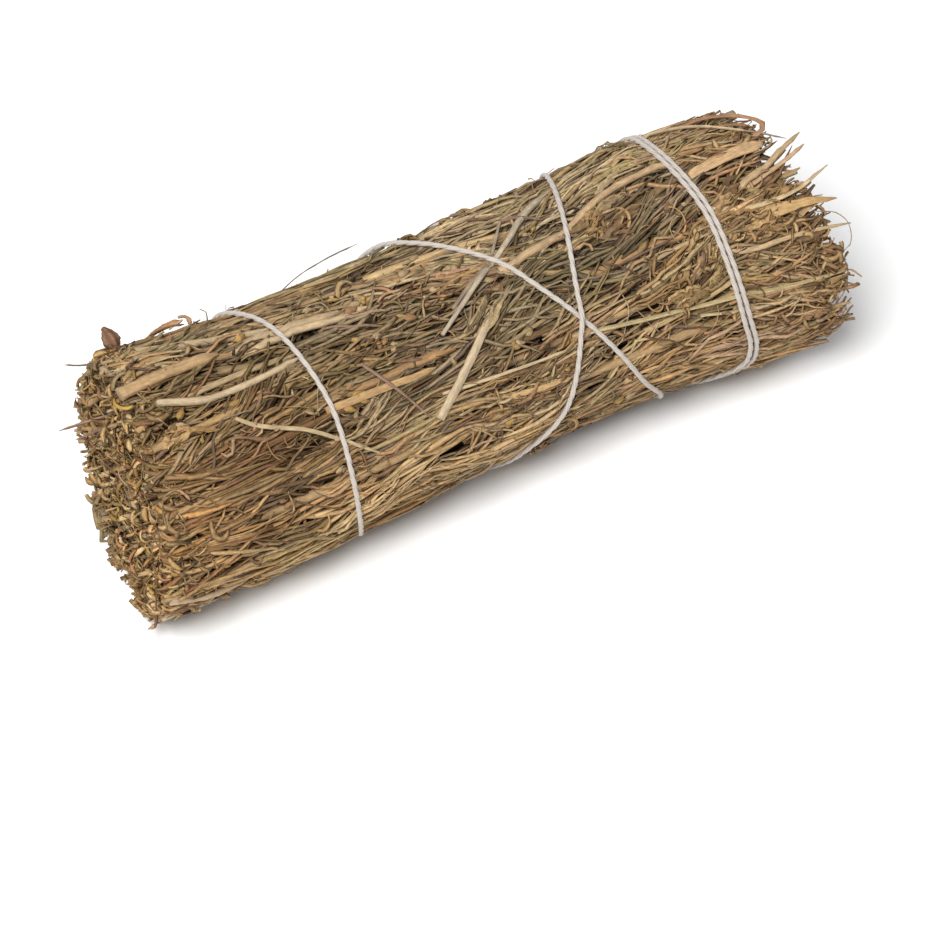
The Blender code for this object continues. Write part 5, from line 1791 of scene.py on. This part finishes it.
def make_string(draw, strands):
    """Plies that wind round the route, and fuzz that stands on it."""
    travelled = np.arange(len(ROUTE)) * ROUTE_STEP
    tangents = unit(np.gradient(ROUTE, axis=0))
    ups = outwards(ROUTE)
    ups = unit(ups - np.sum(ups * tangents, axis=1, keepdims=True) * tangents)
    sides = np.cross(tangents, ups)
    tone = linear(STRING_TONE)
    for ply in range(PLY.count):
        turn = FULL_TURN * (travelled / PLY.pitch + ply / PLY.count)
        away = sides * np.cos(turn)[:, None] + ups * np.sin(turn)[:, None]
        path = (ROUTE + away * PLY.offset)[None]
        thick = PLY.radius * (1.0 + PLY.swell * np.sin(travelled * PLY.swell_rate + ply))
        rings = sweep(path, away[None], thick, thick, PLY.outline)
        strands.add(rings, np.broadcast_to(tone, path.shape), [0])
    at = draw.integers(1, len(ROUTE) - 1, FUZZ.count)
    turn = draw.uniform(0.0, FULL_TURN, FUZZ.count)[:, None]
    away = sides[at] * np.cos(turn) + ups[at] * np.sin(turn)
    leans = unit(away + tangents[at] * draw.normal(0.0, FUZZ.lean, (FUZZ.count, 1)))
    steps = np.linspace(0.0, 1.0, FUZZ.rings)
    length = draw.uniform(*FUZZ.length, FUZZ.count)[:, None, None]
    curl = draw.normal(0.0, FUZZ.curl, (FUZZ.count, 1, 3))
    paths = (ROUTE[at] + away * FUZZ.start)[:, None] + leans[:, None] * steps[:, None] * length
    paths = paths + curl * (steps ** 2)[:, None] * length
    paths[..., 2] = np.maximum(paths[..., 2], FUZZ.lowest)
    thick = FUZZ.radius * (1.0 - FUZZ.narrowing * steps)
    rings = sweep(paths, away[:, None], thick, thick, FUZZ.outline)
    strands.add(rings, np.broadcast_to(tone, paths.shape), np.zeros(FUZZ.count, int))


# Materials.

WHITE = (1.0, 1.0, 1.0, 1.0)
EVEN = (1.0, 1.0, 1.0)
# Noise lies about this middle band, which is spread to the limits that a material wants.
NOISE_BAND = (0.3, 0.7)
NOISE_DETAIL = 3.0
GRAIN_STRETCH = 0.12
MOTTLE_SCALE = 1700.0
BLOTCH_SCALE = 380.0
BLOTCH_LIGHT = (0.84, 1.14)
GRAIN_RELIEF = 0.0002
PLANT_SPECULAR = 0.3
COTTON = Kind(
    grain=(9.0, 1.2, 1.0), detail=4.0, light=(0.88, 1.06), roughness=(0.75, 0.92), bump=0.5,
    relief=0.0001, sheen=0.3, specular=0.2,
)
PLANT_FINISHES = (
    Kind(name="dried_leaf", grain_scale=7.0, grain_light=(0.76, 1.16), roughness=(0.55, 0.85), bump=0.5,
         mottle_light=(0.78, 1.16)),
    Kind(name="bare_bark", grain_scale=6.0, grain_light=(0.72, 1.16), roughness=(0.5, 0.8), bump=0.4,
         mottle_light=(0.9, 1.06)),
    Kind(name="inner_fibre", grain_scale=3.0, grain_light=(0.6, 1.3), roughness=(0.8, 1.0), bump=0.5,
         mottle_light=(0.7, 1.2)),
)


class Nodes:
    """A material's node tree with short ways to add nodes and links."""

    def __init__(self, name):
        self.material = bpy.data.materials.new(name)
        self.material.use_nodes = True
        self.tree = self.material.node_tree
        self.shader = self.tree.nodes["Principled BSDF"]

    def feed(self, node, inputs):
        """Give a node's inputs their values or links."""
        for key, value in inputs.items():
            if isinstance(value, bpy.types.NodeSocket):
                self.tree.links.new(value, node.inputs[key])
            else:
                node.inputs[key].default_value = value

    def add(self, kind, output, inputs=None, **settings):
        """Add a node and return one of its outputs."""
        node = self.tree.nodes.new(kind)
        for key, value in settings.items():
            setattr(node, key, value)
        self.feed(node, inputs or {})
        return node.outputs[output]

    def tone(self):
        """The strands' own tones."""
        return self.add("ShaderNodeAttribute", "Color", attribute_name="tone")

    def grain_map(self):
        """The map that runs along each strand, in mm."""
        return self.add("ShaderNodeUVMap", "UV", uv_map="grain")

    def noise(self, source, stretch, scale, detail=NOISE_DETAIL):
        """Noise over a source that is stretched first."""
        stretched = self.add("ShaderNodeMapping", "Vector", {"Vector": source, "Scale": stretch})
        inputs = {"Vector": stretched, "Scale": scale, "Detail": detail}
        return self.add("ShaderNodeTexNoise", "Fac", inputs)

    def spread(self, value, limits):
        """Noise spread between two limits."""
        inputs = {"Value": value, "From Min": NOISE_BAND[0], "From Max": NOISE_BAND[1],
                  "To Min": limits[0], "To Max": limits[1]}
        return self.add("ShaderNodeMapRange", "Result", inputs)

    def calculated(self, first, second, operation):
        """A sum or product of two numbers."""
        return self.add("ShaderNodeMath", "Value", {0: first, 1: second}, operation=operation)

    def shaded(self, tone, factor):
        """A tone times a factor."""
        return self.add("ShaderNodeVectorMath", "Vector", {0: tone, 1: factor}, operation="MULTIPLY")

    def raised(self, height, strength, relief):
        """Fine relief, in metres."""
        inputs = {"Height": height, "Strength": strength, "Distance": relief}
        return self.add("ShaderNodeBump", "Normal", inputs)


def plant_material(look):
    """Dried plant: the strand's own tone with lengthwise grain, fine mottling and broad blotches."""
    nodes = Nodes(look.name)
    tone = nodes.tone()
    along = nodes.grain_map()
    here = nodes.add("ShaderNodeTexCoord", "Object")
    grain = nodes.noise(along, (look.grain_scale, look.grain_scale * GRAIN_STRETCH, 1.0), 1.0)
    mottle = nodes.noise(here, EVEN, MOTTLE_SCALE)
    blotch = nodes.noise(here, EVEN, BLOTCH_SCALE)
    grain_light = nodes.spread(grain, look.grain_light)
    light = nodes.calculated(grain_light, nodes.spread(blotch, BLOTCH_LIGHT), "MULTIPLY")
    light = nodes.calculated(light, nodes.spread(mottle, look.mottle_light), "MULTIPLY")
    height = nodes.calculated(grain, mottle, "ADD")
    nodes.feed(nodes.shader, {
        "Base Color": nodes.shaded(tone, light),
        "Roughness": nodes.spread(blotch, look.roughness),
        "Normal": nodes.raised(height, look.bump, GRAIN_RELIEF),
        "Specular IOR Level": PLANT_SPECULAR,
    })
    return nodes.material


def string_material():
    """Cotton: an even tone with fine fibres along the plies."""
    nodes = Nodes("cotton_string")
    fibre = nodes.noise(nodes.grain_map(), COTTON.grain, 1.0, COTTON.detail)
    nodes.feed(nodes.shader, {
        "Base Color": nodes.shaded(nodes.tone(), nodes.spread(fibre, COTTON.light)),
        "Normal": nodes.raised(fibre, COTTON.bump, COTTON.relief),
        "Roughness": nodes.spread(fibre, COTTON.roughness),
        "Sheen Weight": COTTON.sheen,
        "Specular IOR Level": COTTON.specular,
    })
    return nodes.material


def floor_material():
    """Plain and dull."""
    nodes = Nodes("pale_floor")
    nodes.feed(nodes.shader, {
        "Base Color": FLOOR_TONE,
        "Roughness": FLOOR_ROUGHNESS,
        "Specular IOR Level": FLOOR_SPECULAR,
    })
    return nodes.material


# Pieces.


def link(mesh, node):
    """Put a piece in the scene in place of its CAD node."""
    piece = bpy.data.objects.new("dry_" + node, mesh)
    bpy.context.scene.collection.objects.link(piece)
    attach(piece, "root")
    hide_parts(node)


MAKERS = (
    make_leaves, make_crumbs, make_curls, make_lumps, make_broad_leaves, make_sheaves, make_stems,
    make_twigs, make_hairs, make_buds, make_cut_end, make_end_crumbs, make_end_curls, make_rim,
    make_tips, make_strips, make_standouts, make_teardrop, make_seam_stems, make_bodies,
)


def make_pieces():
    """All strands are made first, and then one mesh for each sprig and stem, and the string."""
    bundle = Bundle(SEED)
    for make in MAKERS:
        make(bundle)
    materials = [plant_material(look) for look in PLANT_FINISHES]
    for index, name in enumerate(NODES):
        link(bundle.strands.mesh(name, index, materials), name)
    string = Strands()
    make_string(bundle.draw, string)
    link(string.mesh("binding_string", 0, [string_material()]), "binding_string")


# Stage and camera: places and sizes in metres, the lens in millimetres.

FLOOR_SIZE = 4.0
FLOOR_TONE = (0.90, 0.90, 0.90, 1.0)
FLOOR_ROUGHNESS = 0.9
FLOOR_SPECULAR = 0.1
WORLD_STRENGTH = 0.45
KEY_PLACE = (-0.38, -0.30, 0.82)
KEY_SIZE = 0.50
KEY_WATTS = 11.2
CAMERA_AZIMUTH = -28.5
CAMERA_ELEVATION = 48.0
CAMERA_DISTANCE = 0.62
CAMERA_LENS = 146.03
CAMERA_CENTRE = (0.0, 0.0, 0.020)
FRAMING_RIGHT = 0.00197
FRAMING_DOWN = 0.02057


def put(data, at, aim):
    """A lamp or camera at one place that looks at another."""
    thing = bpy.data.objects.new(data.name, data)
    thing.location = at
    thing.rotation_euler = (Vector(aim) - Vector(at)).to_track_quat("-Z", "Y").to_euler()
    bpy.context.scene.collection.objects.link(thing)
    return thing


def make_stage():
    """A pale floor, an even surrounding light and one soft lamp."""
    bpy.ops.mesh.primitive_plane_add(size=FLOOR_SIZE)
    floor = bpy.context.object
    floor.name = "floor"
    floor.data.materials.append(floor_material())
    world = bpy.data.worlds.new("studio")
    world.use_nodes = True
    background = world.node_tree.nodes["Background"]
    background.inputs["Color"].default_value = WHITE
    background.inputs["Strength"].default_value = WORLD_STRENGTH
    bpy.context.scene.world = world
    key = bpy.data.lights.new("key", "AREA")
    key.shape = "DISK"
    key.size = KEY_SIZE
    key.energy = KEY_WATTS
    put(key, KEY_PLACE, CAMERA_CENTRE)


def make_camera():
    """The camera aims a little beside and below the middle of the bundle."""
    azimuth, elevation = math.radians(CAMERA_AZIMUTH), math.radians(CAMERA_ELEVATION)
    level = math.cos(elevation)
    back = Vector((math.sin(azimuth) * level, -math.cos(azimuth) * level, math.sin(elevation)))
    right = Vector((math.cos(azimuth), math.sin(azimuth), 0.0))
    up = back.cross(right)
    centre = Vector(CAMERA_CENTRE)
    data = bpy.data.cameras.new("camera")
    data.lens = CAMERA_LENS
    aim = centre + right * FRAMING_RIGHT - up * FRAMING_DOWN
    bpy.context.scene.camera = put(data, centre + back * CAMERA_DISTANCE, aim)


def main():
    """Make the camera, the stage and the pieces, seen through the Standard view."""
    make_camera()
    make_stage()
    make_pieces()
    bpy.context.scene.view_settings.view_transform = "Standard"


main()
